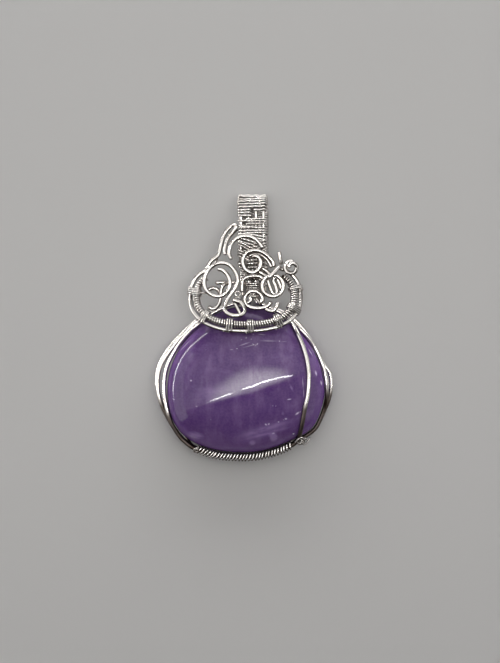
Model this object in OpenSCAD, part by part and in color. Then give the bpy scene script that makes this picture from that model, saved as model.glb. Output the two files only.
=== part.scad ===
// A polished purple stone in a hand-wrapped silver wire setting, lying on its back.
// X runs across the pendant, Y up its length towards the bail, Z out of its face.

/* [Stone] */
// Width of the stone
stone_w = 31.6; // [28:0.1:34]
// Height of the stone above its widest place
stone_up = 16.8; // [15:0.1:17]
// Height of the stone below its widest place
stone_down = 12.5; // [11:0.1:14]
// Bulge of the polished face in front of the girdle
face_bulge = 6.2; // [5:0.1:6.4]
// Bulge of the back behind the girdle
back_bulge = 4.2; // [3:0.1:4.2]
// Height of the girdle above the surface that the pendant lies on
girdle_z = 4.23; // [4.22:0.01:4.4]

/* [Wire] */
// Thickness of the frame wire
frame_d = 0.8; // [0.6:0.05:0.8]
// Thickness of the wire of the scrolls
scroll_d = 0.8; // [0.5:0.02:0.8]
// Thickness of the fine wire that binds the others
binding_d = 0.35; // [0.25:0.05:0.35]
// Gap between pieces that touch on the real pendant
seat_gap = 0.05; // [0.05:0.01:0.06]

/* [Ring] */
// Half the width of the oval, along its plain outer wire
ring_half_w = 10.9; // [10.9:0.1:11.5]
// Half the height of the oval, along its plain outer wire
ring_half_h = 6.8; // [6.8:0.1:7.2]
// Thickness of the coil-wrapped wire inside the outer wire
coil_d = 1.6; // [1.2:0.1:1.6]
// Height of the oval's middle line where it lies on the stone
ring_front_z = 10.75; // [10.7:0.05:11]
// Height of the oval's middle line at its sides and top
ring_side_z = 7.7; // [7.6:0.05:7.7]

/* [Bail] */
// Width of the woven band
bail_w = 6.5; // [5:0.1:7]
// Thickness of the woven band
bail_t = 1.5; // [1.2:0.1:1.6]
// Radius of the fold, along the middle of the band
fold_r = 3.35; // [3.3:0.05:3.5]
// Height up the pendant of the middle of the fold
fold_y = 22.6; // [21:0.1:24]

/* [Hidden] */
$fn = 48;

// Colours
SILVER = "Silver";
PURPLE = "MediumPurple";

// Centre of the stone's outline, at its widest place
stone_x = 0.4;
stone_y = -12.6;
// Fullness of each half superellipse: 2 is an ellipse, more is squarer
full_above = 1.87;
full_below_left = 2.5;
full_below_right = 1.9;
full_face = 2.6;
full_back = 3;
stone_turns = 60;
// The outline is fuller than that at its lower right, by this much around this turn
corner_out = 0.75;
corner_turn = 330;
corner_narrowness = 3.5;
face_steps = [0, 10, 20, 31, 43, 56, 70, 81];
back_steps = [-80, -68, -54, -40, -27, -13];

// Spacing of the rings along a swept wire, and its sides
frame_step = 2.4;
scroll_step = 0.85;
wire_sides = 8;

// The four frame wires lie one over the other, a pitch apart
frame_pitch = frame_d + 0.06;
front_lift = 1.5 * frame_pitch;
middle_lift = 0.5 * frame_pitch;
back_lift = -middle_lift;
rear_lift = -front_lift;
// The wires' two columns in the neck, and its ends
neck_left_x = 1.1;
neck_right_x = 2.5;
neck_waist_y = 6.9;
neck_foot_y = 5.0;
neck_top_y = 9.4;
neck_wrap_y = [5.9, 9.2];
wrap_bore = frame_d / 2 + seat_gap;

// Centre of the oval
ring_x = 0.3;
ring_y = 6.0;
full_ring = 2.4;
// The oval rises onto the stone below this share of its half height
ring_rise_from = 0.15;
coil_inset = frame_d / 2 + coil_d / 2 + seat_gap;

// How far each frame wire stands off the stone's edge, at each turn round the stone
TURN = 0;
FRONT = 1;
MIDDLE = 2;
BACK = 3;
REAR = 4;
// turn, front, middle, back, rear
frame_fit = [
    [97, 0.75, 0.75, 0.75, 0.75],
    [113, 0.4, 0.75, 0.85, 0.6],
    [125, 0.15, 0.75, 1.0, 0.45],
    [135, 0.25, 0.85, 1.2, 0.2],
    [150, 0.48, 1.3, 1.8, -1.0],
    [164, 0.7, 2.0, 2.4, -2.4],
    [176, 0.58, 1.95, 2.15, -3.1],
    [188, 0.35, 1.4, 1.4, -3.1],
    [202, 0.33, 0.6, 0.65, -2.2],
    [214, 0.65, 0.7, 0.7, -0.8],
    [222, 0.88, 0.9, 0.9, 0.6],
    [229, 1.0, 1.0, 1.0, 1.0],
    [245, 1.0, 1.0, 1.0, 1.0],
    [262, 0.95, 0.95, 0.95, 0.95],
    [280, 0.95, 0.95, 0.95, 0.95],
    [298, 0.95, 0.95, 0.95, 0.95],
    [311, 0.93, 0.93, 0.93, 0.93],
    [317, 0.3, 0.65, 0.65, 0.5],
    [319.5, -0.3, 0.55, 0.6, 0.05],
    [322, -0.9, 0.55, 0.6, -0.4],
    [328, -2.1, 0.55, 0.6, -1.6],
    [334, -2.9, 0.55, 0.6, -2.4],
    [346, -3.5, 0.55, 0.8, -2.95],
    [355, -3.58, 0.42, 1.1, -3.1],
    [364, -3.45, 0.36, 1.4, -3.15],
    [371, -3.15, 0.36, 1.4, -2.95],
    [378, -2.75, 0.4, 0.75, -2.6],
    [392, -1.9, 0.42, 0.6, -1.8],
    [408, -0.65, 0.36, 0.88, -0.4],
    [421, 0.5, 0.55, 1.05, 0.6],
    [438, 0.75, 0.75, 0.75, 0.75]];

// Bends of the scroll wires, each row one bend: across, up, height
ACROSS = 0;
UP = 1;
HEIGHT = 2;

// From the bail's left side to the oval's upper left
outer_wire_lead = [
    [-2.3, 20.15, 7.0],
    [-3.2, 19.35, 7.0],
    [-4.1, 17.9, 7.1],
    [-4.6, 15.9, 7.3],
    [-5.1, 14.2, 7.5],
    [-6.5, 13.0, 7.7]];
// From the oval's upper right to its inner end
outer_wire_tail = [
    [8.0, 11.3, 7.7],
    [6.9, 11.7, 7.5]];

scroll_left_bends = [
    [-5.2, 11.4, 8.9],
    [-4.1, 11.1, 8.9],
    [-3.1, 10.0, 8.9],
    [-2.7, 8.6, 8.9],
    [-3.0, 7.4, 8.9],
    [-3.9, 6.4, 8.9],
    [-5.1, 6.0, 8.9],
    [-6.5, 6.4, 8.9],
    [-7.5, 7.5, 8.9],
    [-7.8, 8.9, 8.9],
    [-7.4, 10.6, 8.9],
    [-6.2, 12.0, 8.9],
    [-4.6, 12.6, 8.9],
    [-2.9, 12.2, 8.9],
    [-1.7, 10.9, 8.9],
    [-1.2, 9.3, 8.9],
    [-1.6, 7.9, 8.9],
    [-2.4, 6.7, 9.0],
    [-3.2, 5.5, 9.2],
    [-3.7, 4.3, 9.5],
    [-3.7, 3.3, 9.9],
    [-3.1, 2.6, 10.1],
    [-2.1, 2.25, 10.2],
    [-0.9, 2.3, 10.1],
    [0.0, 2.8, 9.8],
    [0.1, 3.7, 9.4],
    [-0.5, 4.7, 9.1],
    [-1.4, 5.1, 9.0],
    [-2.3, 5.2, 9.0]];

scroll_upper_bends = [
    [6.0, 11.8, 8.2],
    [5.7, 12.8, 8.3],
    [4.8, 13.9, 8.4],
    [3.5, 14.8, 8.4],
    [2.0, 15.1, 8.4],
    [0.7, 14.7, 8.4],
    [-0.1, 13.7, 8.4],
    [-0.2, 12.5, 8.4],
    [0.4, 11.3, 8.4],
    [1.4, 10.7, 8.4],
    [2.4, 10.9, 8.4],
    [3.2, 11.9, 8.4],
    [3.3, 13.1, 8.4],
    [2.6, 13.9, 8.4],
    [1.6, 13.9, 8.4]];

scroll_centre_bends = [
    [3.1, 4.7, 7.6],
    [3.7, 5.5, 7.6],
    [3.3, 6.4, 7.6],
    [2.4, 7.0, 7.6],
    [1.3, 7.0, 7.6],
    [0.4, 6.3, 7.6],
    [0.1, 5.3, 7.6],
    [0.6, 4.3, 7.6],
    [1.7, 3.8, 7.6],
    [3.2, 3.7, 7.6],
    [4.6, 4.1, 7.6],
    [5.5, 5.0, 7.6]];

basket_fold_bends = [
    [4.6, 9.5, 7.85],
    [5.0, 8.3, 7.85],
    [5.5, 7.0, 7.85],
    [6.1, 6.4, 7.85],
    [6.5, 7.0, 7.85],
    [6.2, 8.3, 7.85],
    [5.8, 9.2, 7.85],
    [6.2, 9.7, 7.85],
    [6.7, 9.4, 7.85],
    [7.1, 8.5, 7.85],
    [7.5, 7.3, 7.85]];

scroll_right_bends = [
    [9.0, 11.5, 9.5],
    [8.9, 12.2, 9.5],
    [9.7, 12.5, 9.45],
    [10.4, 11.8, 9.25],
    [9.9, 10.7, 9.0],
    [8.7, 10.7, 8.8],
    [8.1, 11.7, 8.65],
    [8.6, 12.8, 8.6],
    [9.8, 13.0, 8.55]];

arch_top_bends = [
    [-2.4, 13.3, 8.7],
    [-2.9, 14.3, 8.6],
    [-2.8, 15.5, 8.6],
    [-2.2, 16.8, 8.5],
    [-1.1, 17.6, 8.5],
    [0.4, 17.9, 8.5],
    [1.9, 17.5, 8.5],
    [3.0, 16.6, 8.5],
    [3.8, 15.5, 8.5]];

arch_inner_bends = [
    [-2.2, 18.7, 7.3],
    [-2.75, 18.15, 7.3],
    [-3.2, 17.4, 7.4],
    [-3.6, 16.4, 7.5],
    [-3.8, 15.2, 7.6],
    [-3.6, 14.2, 7.7]];

neck_hoop_bends = [
    [3.9, 9.4, 7.3],
    [3.1, 10.0, 7.3],
    [2.0, 10.1, 7.3],
    [0.7, 9.9, 7.3],
    [-0.2, 9.2, 7.2],
    [-0.4, 8.0, 7.2],
    [-0.4, 6.9, 7.2]];

under_wire_bends = [
    [-7.1, 4.0, 7.6],
    [-6.2, 3.6, 7.6],
    [-5.3, 4.0, 7.7],
    [-4.7, 5.1, 7.9],
    [-4.6, 6.6, 8.0],
    [-4.2, 8.0, 8.0],
    [-3.2, 8.7, 7.6],
    [-1.6, 8.8, 7.3]];

corner_wire_bends = [
    [4.2, 3.6, 8.4],
    [5.0, 3.2, 8.5],
    [5.8, 3.2, 8.6],
    [6.4, 3.9, 8.5],
    [6.8, 5.0, 8.4]];

cross_wire_bends = [
    [4.8, 9.6, 9.6],
    [6.0, 10.8, 9.4],
    [7.1, 12.0, 8.8]];

tuck_wire_bends = [
    [2.7, 11.1, 7.2],
    [3.6, 10.6, 7.2],
    [4.5, 10.1, 7.3],
    [5.1, 10.4, 7.3],
    [4.6, 11.0, 7.2],
    [3.5, 11.7, 7.2]];

upright_end_bends = [
    [7.45, 12.35, 8.0],
    [7.15, 13.4, 8.2],
    [6.95, 14.9, 8.3]];

// The closed wire of the basket
basket_x = 5.7;
basket_y = 8.1;
basket_r = 2.1;
basket_z = 8.65;
basket_from = -250;
basket_to = 85;

// Places of the fine bindings on the oval: turn, length along the oval
PLACE = 0;
LENGTH = 1;
binding_rows = [
    [175, 1.5],
    [209, 1.4],
    [243, 1.6],
    [277, 1.4],
    [318, 1.5],
    [344, 1.5],
    [370, 1.2]];

// The bail's middle line, seen from the side: up, height
bail_front = [[9.75, 5.0], [14.6, 6.95], [fold_y, bail_t / 2 + 2 * fold_r]];
bail_rear = [[fold_y, bail_t / 2], [12, bail_t / 2], [6.2, 1.05]];
fold_z = bail_t / 2 + fold_r;
bail_x = 1.85;
// The band narrows in front towards the neck, below this height up the pendant
bail_waist_w = 3.2;
bail_taper_y = 13.4;

// Smooth curves through the rows of a table
function bend(before, start, stop, after, t) =
    0.5 * (2 * start + (stop - before) * t
        + (2 * before - 5 * start + 4 * stop - after) * t * t
        + (3 * start - before - 3 * stop + after) * t * t * t);

function between(value, one_end, other_end) =
    min(max(value, min(one_end, other_end)), max(one_end, other_end));

function smooth_path(rows, spacing) = [
    for (i = [0 : len(rows) - 2])
        let (
            start = rows[i],
            stop = rows[i + 1],
            before = i > 0 ? rows[i - 1] : 2 * start - stop,
            after = i < len(rows) - 2 ? rows[i + 2] : 2 * stop - start,
            steps = max(1, ceil(norm(stop - start) / spacing)))
        for (k = [0 : steps - 1])
            let (p = bend(before, start, stop, after, k / steps))
            [p[ACROSS], p[UP], between(p[HEIGHT], start[HEIGHT], stop[HEIGHT])],
    rows[len(rows) - 1]];

// A wire swept along a path, with flat ends
function heading(path, i) =
    let (
        behind = path[max(0, i - 1)],
        ahead = path[min(len(path) - 1, i + 1)])
    (ahead - behind) / norm(ahead - behind);

function sideways(path, i) =
    let (across = cross([0, 0, 1], heading(path, i)))
    across / norm(across);

// The section of a wire, and of a slot drawn out upwards by a length each way
function round_section(radius, sides) =
    [for (k = [0 : sides - 1]) radius * [cos(360 * k / sides), sin(360 * k / sides)]];

function slot_section(radius, drawn_out, sides) = [
    for (half = [0, 1])
        for (k = [0 : sides / 2 - 1])
            let (turn = 180 * half + 180 * k / (sides / 2 - 1))
            [radius * cos(turn), radius * sin(turn) + (half == 0 ? drawn_out : -drawn_out)]];

// The points of a section swept along a path
function swept(path, section) = [
    for (i = [0 : len(path) - 1])
        let (
            side = sideways(path, i),
            rise = cross(heading(path, i), side))
        for (point = section)
            path[i] + point[0] * side + point[1] * rise];

function skin(first, rows, sides) = [
    for (i = [0 : rows - 2])
        for (k = [0 : sides - 1])
            let (
                a = first + i * sides + k,
                b = first + i * sides + (k + 1) % sides)
            each [[a, a + sides, b + sides], [a, b + sides, b]]];

function turned_over(faces) = [for (face = faces) [face[0], face[2], face[1]]];

module wire(path, thickness, sides = wire_sides) {
    rows = len(path);
    last = (rows - 1) * sides;
    polyhedron(
        points = swept(path, round_section(thickness / 2, sides)),
        faces = concat(
            skin(0, rows, sides),
            [[for (k = [0 : sides - 1]) k]],
            [[for (k = [sides - 1 : -1 : 0]) last + k]]));
}

// An open sleeve swept along a path
module sleeve(path, bore, drawn_out, wall, sides) {
    rows = len(path);
    inner = rows * sides;
    last = (rows - 1) * sides;
    polyhedron(
        points = concat(
            swept(path, slot_section(bore + wall, drawn_out, sides)),
            swept(path, slot_section(bore, drawn_out, sides))),
        faces = concat(
            skin(0, rows, sides),
            turned_over(skin(inner, rows, sides)),
            [for (k = [0 : sides - 1]) let (n = (k + 1) % sides)
                each [[k, n, inner + n], [k, inner + n, inner + k]]],
            [for (k = [0 : sides - 1]) let (n = (k + 1) % sides)
                each [
                    [last + k, inner + last + n, last + n],
                    [last + k, inner + last + k, inner + last + n]]]));
}

// The stone's outline as a distance from its centre, at each turn
function outline(turn) =
    let (
        x = abs(cos(turn)) / (stone_w / 2),
        y = abs(sin(turn)) / (sin(turn) > 0 ? stone_up : stone_down),
        n = sin(turn) > 0 ? full_above : cos(turn) < 0 ? full_below_left : full_below_right,
        off_corner = min(90, corner_narrowness * acos(cos(turn - corner_turn))))
    pow(pow(x, n) + pow(y, n), -1 / n) + corner_out * pow(cos(off_corner), 3);

function full(value, fullness) = sign(value) * pow(abs(value), 2 / fullness);

function on_stone(turn, reach, z) =
    [stone_x + reach * cos(turn), stone_y + reach * sin(turn), z];

// How far from the girdle a wire lies where it crosses the stone's face or back
function seat(turn, stand_off, bulge, fullness) =
    let (
        clear = frame_d / 2 + 2 * seat_gap,
        share = (outline(turn) + stand_off) / (outline(turn) + clear))
    share >= 1 ? 0 : (bulge + clear) * pow(1 - pow(share, fullness), 1 / fullness);

function frame_row(row, column, lift) =
    let (
        turn = row[TURN],
        off = row[column],
        z = lift > 0
            ? max(lift, seat(turn, off, face_bulge, full_face))
            : min(lift, -seat(turn, off, back_bulge, full_back)))
    on_stone(turn, outline(turn) + off, girdle_z + z);

function frame_path(column, lift) = smooth_path(
    concat(
        [for (y = [neck_top_y, neck_waist_y, neck_foot_y]) [neck_left_x, y, girdle_z + lift]],
        [for (row = frame_fit) frame_row(row, column, lift)],
        [for (y = [neck_foot_y, neck_waist_y, neck_top_y]) [neck_right_x, y, girdle_z + lift]]),
    frame_step);

module stone() {
    steps = concat(back_steps, face_steps);
    levels = len(steps);
    under = levels * stone_turns;
    color(PURPLE)
    polyhedron(
        points = concat(
            [for (step = steps)
                let (
                    fullness = step < 0 ? full_back : full_face,
                    bulge = step < 0 ? back_bulge : face_bulge)
                for (k = [0 : stone_turns - 1])
                    let (turn = 360 * k / stone_turns)
                    on_stone(turn, outline(turn) * full(cos(step), fullness),
                        girdle_z + bulge * full(sin(step), fullness))],
            [[stone_x, stone_y, girdle_z - back_bulge], [stone_x, stone_y, girdle_z + face_bulge]]),
        faces = concat(
            skin(0, levels, stone_turns),
            [for (k = [0 : stone_turns - 1]) [under, k, (k + 1) % stone_turns]],
            [for (k = [0 : stone_turns - 1])
                let (rim = (levels - 1) * stone_turns)
                [under + 1, rim + (k + 1) % stone_turns, rim + k]]));
}

module frame_wire(column, lift) {
    color(SILVER)
    wire(frame_path(column, lift), frame_d);
}

// The fine wire wound round the frame wires under the stone
module bottom_wrap() {
    wrapped = [for (row = frame_fit) if (row[TURN] >= 229 && row[TURN] <= 311) row];
    path = smooth_path([for (row = wrapped) frame_row(row, MIDDLE, 0)], frame_step);
    color(SILVER)
    sleeve(path, wrap_bore + seat_gap, front_lift, binding_d, 12);
}

module rounded(w, h, r) {
    for (x = [-1, 1]) {
        for (y = [-1, 1]) {
            translate([x * (w / 2 - r), y * (h / 2 - r)])
            circle(r);
        }
    }
    square([w - 2 * r, h], center = true);
    square([w, h - 2 * r], center = true);
}

module stadium(w, h) {
    for (x = [-1, 1]) {
        translate([x * (w - h) / 2, 0])
        circle(d = h);
    }
    square([w - h, h], center = true);
}

// The fine wire wound round the frame wires above the stone
module neck_wrap() {
    bore_w = neck_right_x - neck_left_x + 2 * wrap_bore;
    bore_h = 2 * (front_lift + wrap_bore);
    color(SILVER)
    translate([(neck_left_x + neck_right_x) / 2, neck_wrap_y[1], girdle_z])
    rotate([90, 0, 0])
    linear_extrude(neck_wrap_y[1] - neck_wrap_y[0])
    difference() {
        rounded(bore_w + 2 * binding_d, bore_h + 2 * binding_d, wrap_bore + binding_d);
        rounded(bore_w, bore_h, wrap_bore);
    }
}

// The oval's lines: plain outer wire at inset 0, coil-wrapped wire inside it
function ring_point(turn, inset) =
    let (
        x = abs(cos(turn)) / (ring_half_w - inset),
        y = abs(sin(turn)) / (ring_half_h - inset),
        reach = pow(pow(x, full_ring) + pow(y, full_ring), -1 / full_ring),
        low = max(0, (ring_rise_from - sin(turn)) / (ring_rise_from + 1)))
    [ring_x + reach * cos(turn), ring_y + reach * sin(turn),
        ring_side_z + (ring_front_z - ring_side_z) * low * (2 - low)];

function ring_stretch(from, to, step, inset) =
    [for (turn = [from : step : to]) ring_point(turn, inset)];

module ring_outer_wire() {
    path = concat(outer_wire_lead, ring_stretch(146, 396, 10, 0), outer_wire_tail);
    color(SILVER)
    wire(smooth_path(path, 1.6), frame_d);
}

module ring_coil() {
    color(SILVER)
    wire(smooth_path(ring_stretch(153, 390, 7.9, coil_inset), 1.6), coil_d);
}

// One fine binding round the outer wire and the coil, across the oval's line
module ring_binding(row) {
    turn = row[PLACE];
    outer = ring_point(turn, 0);
    inner = ring_point(turn, coil_inset);
    ahead = ring_point(turn + 4, coil_inset / 2) - ring_point(turn - 4, coil_inset / 2);
    middle = (outer + inner) / 2 + (coil_d - frame_d) / 4 * (inner - outer) / norm(inner - outer);
    bore_w = norm(inner - outer) + (frame_d + coil_d) / 2 + 6 * seat_gap;
    bore_h = coil_d + 6 * seat_gap;
    color(SILVER)
    translate(middle)
    rotate([90 - asin(ahead[2] / norm(ahead)), 0, atan2(ahead[1], ahead[0]) + 90])
    translate([0, 0, -row[LENGTH] / 2])
    linear_extrude(row[LENGTH])
    difference() {
        stadium(bore_w + 2 * binding_d, bore_h + 2 * binding_d);
        stadium(bore_w, bore_h);
    }
}

module scroll(bends) {
    color(SILVER)
    wire(smooth_path(bends, scroll_step), scroll_d);
}

module scroll_basket() {
    path = [
        for (turn = [basket_from : 20 : basket_to])
            [basket_x + basket_r * cos(turn), basket_y + basket_r * sin(turn), basket_z]];
    color(SILVER)
    wire(path, scroll_d);
}

// A straight stretch of the bail's band, seen from the side
module strip(from, to) {
    along = to - from;
    translate(from)
    rotate(atan2(along[1], along[0]))
    translate([0, -bail_t / 2])
    square([norm(along), bail_t]);
}

module leg(stops) {
    for (i = [0 : len(stops) - 2]) {
        strip(stops[i], stops[i + 1]);
    }
    for (i = [1 : len(stops) - 2]) {
        translate(stops[i])
        circle(d = bail_t);
    }
}

module bail_band() {
    translate([-bail_w / 2, 0, 0])
    rotate([90, 0, 90])
    linear_extrude(bail_w) {
        leg(bail_front);
        leg(bail_rear);
        intersection() {
            translate([fold_y, fold_z])
            difference() {
                circle(fold_r + bail_t / 2);
                circle(fold_r - bail_t / 2);
            }
            translate([fold_y, 0])
            square([2 * fold_r, 2 * fold_z]);
        }
    }
}

// What is cut off each side of the front leg towards the neck
module bail_taper() {
    foot_y = bail_front[0][0] - bail_t;
    translate([0, 0, fold_z - bail_t])
    linear_extrude(2 * fold_r)
    polygon([
        [bail_waist_w / 2, foot_y],
        [bail_w, foot_y],
        [bail_w, bail_taper_y],
        [bail_w / 2, bail_taper_y]]);
}

// The woven band, folded over to the back
module bail() {
    color(SILVER)
    translate([bail_x, 0, 0])
    difference() {
        bail_band();
        bail_taper();
        mirror([1, 0, 0]) bail_taper();
    }
}

stone();
frame_wire(FRONT, front_lift);  // frame_wire_front
frame_wire(MIDDLE, middle_lift);  // frame_wire_middle
frame_wire(BACK, back_lift);  // frame_wire_back
frame_wire(REAR, rear_lift);  // frame_wire_rear
bottom_wrap();
neck_wrap();
ring_outer_wire();
ring_coil();
ring_binding(binding_rows[0]);  // binding_left
ring_binding(binding_rows[1]);  // binding_lower_left
ring_binding(binding_rows[2]);  // binding_bottom_left
ring_binding(binding_rows[3]);  // binding_bottom
ring_binding(binding_rows[4]);  // binding_lower_right
ring_binding(binding_rows[5]);  // binding_right_lower
ring_binding(binding_rows[6]);  // binding_right
scroll(scroll_left_bends);  // scroll_left
scroll(scroll_upper_bends);  // scroll_upper
scroll(scroll_centre_bends);  // scroll_centre
scroll_basket();
scroll(basket_fold_bends);  // basket_fold
scroll(scroll_right_bends);  // scroll_right
scroll(arch_top_bends);  // arch_top
scroll(arch_inner_bends);  // arch_inner
scroll(neck_hoop_bends);  // neck_hoop
scroll(under_wire_bends);  // under_wire
scroll(corner_wire_bends);  // corner_wire
scroll(cross_wire_bends);  // cross_wire
scroll(tuck_wire_bends);  // tuck_wire
scroll(upright_end_bends);  // upright_end
bail();
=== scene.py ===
"""A polished purple stone in a hand-wrapped silver wire setting, lying on its back.

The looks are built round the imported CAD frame. Lengths are in millimetres until a mesh is
made, when they become metres. X runs across the pendant, Y up its length towards the bail and
Z out of the stone's face. The wires follow the same tables of bends as the CAD part.
"""

import logging
import math
import random
from collections.abc import Callable, Iterator, Sequence
from dataclasses import dataclass, field
from enum import Enum
from functools import cached_property
from typing import Any

import bmesh
import bpy
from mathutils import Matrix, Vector


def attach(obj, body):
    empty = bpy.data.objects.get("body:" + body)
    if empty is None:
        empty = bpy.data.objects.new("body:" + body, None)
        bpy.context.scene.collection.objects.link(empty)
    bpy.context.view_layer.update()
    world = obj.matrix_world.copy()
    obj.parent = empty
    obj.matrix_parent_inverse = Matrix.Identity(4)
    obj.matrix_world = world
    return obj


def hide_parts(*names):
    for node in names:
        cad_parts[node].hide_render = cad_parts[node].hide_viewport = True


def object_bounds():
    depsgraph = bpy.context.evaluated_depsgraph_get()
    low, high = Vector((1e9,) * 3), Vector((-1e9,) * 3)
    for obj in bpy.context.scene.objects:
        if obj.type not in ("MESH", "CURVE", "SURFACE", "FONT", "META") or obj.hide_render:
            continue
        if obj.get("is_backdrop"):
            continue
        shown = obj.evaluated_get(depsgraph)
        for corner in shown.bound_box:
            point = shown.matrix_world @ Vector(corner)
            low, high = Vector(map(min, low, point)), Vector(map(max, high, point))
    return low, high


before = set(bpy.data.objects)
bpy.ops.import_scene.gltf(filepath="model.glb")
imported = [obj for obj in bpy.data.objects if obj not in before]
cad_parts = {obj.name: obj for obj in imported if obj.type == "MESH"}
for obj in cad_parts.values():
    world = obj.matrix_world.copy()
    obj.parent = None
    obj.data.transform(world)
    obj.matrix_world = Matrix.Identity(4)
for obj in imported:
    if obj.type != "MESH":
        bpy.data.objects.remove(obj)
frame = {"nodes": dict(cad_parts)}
CAD_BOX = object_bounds()

log = logging.getLogger("pendant")

MM = 0.001
UP = Vector((0, 0, 1))
ACROSS = Vector((1, 0, 0))

Point = tuple[float, float, float]
Bends = Sequence[Point]
Pair = tuple[float, float]
Loop = Sequence[Pair]
Row = tuple[float, ...]
Strand = tuple[int, int, float, float, int, float]
Colour = tuple[float, float, float, float]
Material = bpy.types.Material
Piece = bpy.types.Object

WHITE: Colour = (1, 1, 1, 1)
BLACK: Colour = (0, 0, 0, 1)


class Slot(Enum):
    """The record's material slots."""

    STONE = "stone"
    SILVER = "silver"


class Layer(Enum):
    """The frame wires, from the stone's face to its back: column of the fit table, lift in pitches."""

    FRONT = (1, 1.5)
    MIDDLE = (2, 0.5)
    BACK = (3, -0.5)
    REAR = (4, -1.5)

    @property
    def column(self) -> int:
        """The wire's column in the fit table."""
        return self.value[0]

    @property
    def lift(self) -> float:
        """How far the wire lies over the girdle, in pitches."""
        return self.value[1]


@dataclass(frozen=True)
class Gauge:
    """The wires that the pendant is wound from, in millimetres."""

    frame: float = 0.8
    scroll: float = 0.8
    coil: float = 0.34
    binding: float = 0.29
    fine: float = 0.35
    weave: float = 0.40
    weave_base: float = 0.72
    # Between wires that touch, and between a wound strand and what it holds
    gap: float = 0.05
    play: float = 0.02


GAUGE = Gauge()


class Roundness(Enum):
    """How finely a wire's round section is drawn: the bevel resolution of its curve."""

    PLAIN = 5
    END = 4
    FINE = 3


# Shader maths


def operator(operation: str, reflected: bool = False) -> Callable[["Signal", Any], "Signal"]:
    """The method of a Signal for one operation, with the Signal first or, reflected, second."""

    def work(signal: "Signal", other: Any) -> "Signal":
        """One Math node of the two."""
        return signal.bench.maths(operation, *((other, signal) if reflected else (signal, other)))

    return work


class Signal:
    """A node's output, on which shader maths is written as Python expressions."""

    def __init__(self, bench: "NodeBench", socket: bpy.types.NodeSocket) -> None:
        """Wraps a socket of a bench's tree."""
        self.bench = bench
        self.socket = socket

    __add__, __radd__ = operator("ADD"), operator("ADD", reflected=True)
    __sub__, __rsub__ = operator("SUBTRACT"), operator("SUBTRACT", reflected=True)
    __mul__, __rmul__ = operator("MULTIPLY"), operator("MULTIPLY", reflected=True)

    def ramp(self, start: float, stop: float) -> "Signal":
        """0 before start and 1 after stop, and smooth between them."""
        return self.bench.node(
            "ShaderNodeMapRange",
            {"interpolation_type": "SMOOTHSTEP"},
            {"Value": self, "From Min": start, "From Max": stop},
        )


@dataclass
class NodeBench:
    """Builds one node tree.

    Attributes:
        owner: the material or the world that the nodes belong to.
    """

    owner: Material | bpy.types.World

    @property
    def tree(self) -> bpy.types.NodeTree:
        """The owner's node tree."""
        return self.owner.node_tree

    def node(
        self,
        kind: str,
        settings: dict[str, Any] | None = None,
        inputs: dict[str | int, Any] | None = None,
        output: str | int = 0,
    ) -> Signal:
        """Adds a node.

        Args:
            kind: the node's type.
            settings: its properties, set first.
            inputs: its sockets, by name or place, each a value or a Signal.
            output: the socket that is wanted.

        Returns:
            That output.
        """
        made = self.tree.nodes.new(kind)
        for name, value in (settings or {}).items():
            setattr(made, name, value)
        for name, value in (inputs or {}).items():
            self.feed(made.inputs[name], value)
        return Signal(self, made.outputs[output])

    def feed(self, socket: bpy.types.NodeSocket, value: Any) -> None:
        """Links a Signal to a socket, or sets a plain value there."""
        if isinstance(value, Signal):
            self.tree.links.new(value.socket, socket)
        else:
            socket.default_value = value

    def maths(self, operation: str, *values: Any) -> Signal:
        """One Math node: an operation on numbers or Signals."""
        return self.node("ShaderNodeMath", {"operation": operation}, dict(enumerate(values)))

    def place(self) -> Signal:
        """The point that is shaded, in the object's own metres."""
        return self.node("ShaderNodeTexCoord", output="Object")

    def axis(self, place: Signal, name: str) -> Signal:
        """A place's coordinate along X, Y or Z."""
        return self.node("ShaderNodeSeparateXYZ", {}, {0: place}, name)

    def shut_in(self, reach: float) -> Signal:
        """How much of the view within reach, in metres, neighbours take up, from 0 to 1."""
        return 1 - self.node("ShaderNodeAmbientOcclusion", {"samples": 6}, {"Distance": reach}, "AO")

    def stretched(self, place: Signal, turn: Point, scale: Point) -> Signal:
        """A place turned and scaled, for a pattern that runs one way."""
        return self.node("ShaderNodeMapping", {}, {"Vector": place, "Rotation": turn, "Scale": scale})

    def noise(self, place: Signal, scale: float, detail: float = 3.0, distortion: float = 0.0) -> Signal:
        """Noise from 0 to 1, with that many features to a metre."""
        inputs = {"Vector": place, "Scale": scale, "Detail": detail, "Distortion": distortion}
        return self.node("ShaderNodeTexNoise", {}, inputs)

    def mix(self, share: Any, first: Any, second: Any) -> Signal:
        """A colour between two others, each a colour or a Signal."""
        made = self.tree.nodes.new("ShaderNodeMix")
        made.data_type = "RGBA"
        sockets = {socket.identifier: socket for socket in (*made.inputs, *made.outputs)}
        for name, value in (("Factor_Float", share), ("A_Color", first), ("B_Color", second)):
            self.feed(sockets[name], value)
        return Signal(self, sockets["Result_Color"])

    def bump(self, height: Signal, strength: float, depth: float) -> Signal:
        """A normal bent by a height, which is depth metres for 1."""
        inputs = {"Height": height, "Strength": strength, "Distance": depth}
        return self.node("ShaderNodeBump", {}, inputs, "Normal")

    def end(self, kind: str, shader: Signal) -> None:
        """Ends the tree in an output node of that kind, fed by a shader."""
        self.tree.links.new(shader.socket, self.tree.nodes.new(kind).inputs["Surface"])

    def finish(self, inputs: dict[str, Any]) -> Material:
        """Ends the tree in a Principled shader with those inputs, and hands over the material."""
        self.end("ShaderNodeOutputMaterial", self.node("ShaderNodeBsdfPrincipled", {}, inputs, "BSDF"))
        return self.owner


def new_bench(name: str) -> NodeBench:
    """An empty node tree in a new material of that name."""
    material = bpy.data.materials.new(name)
    material.use_nodes = True
    material.node_tree.nodes.clear()
    return NodeBench(material)


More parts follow.
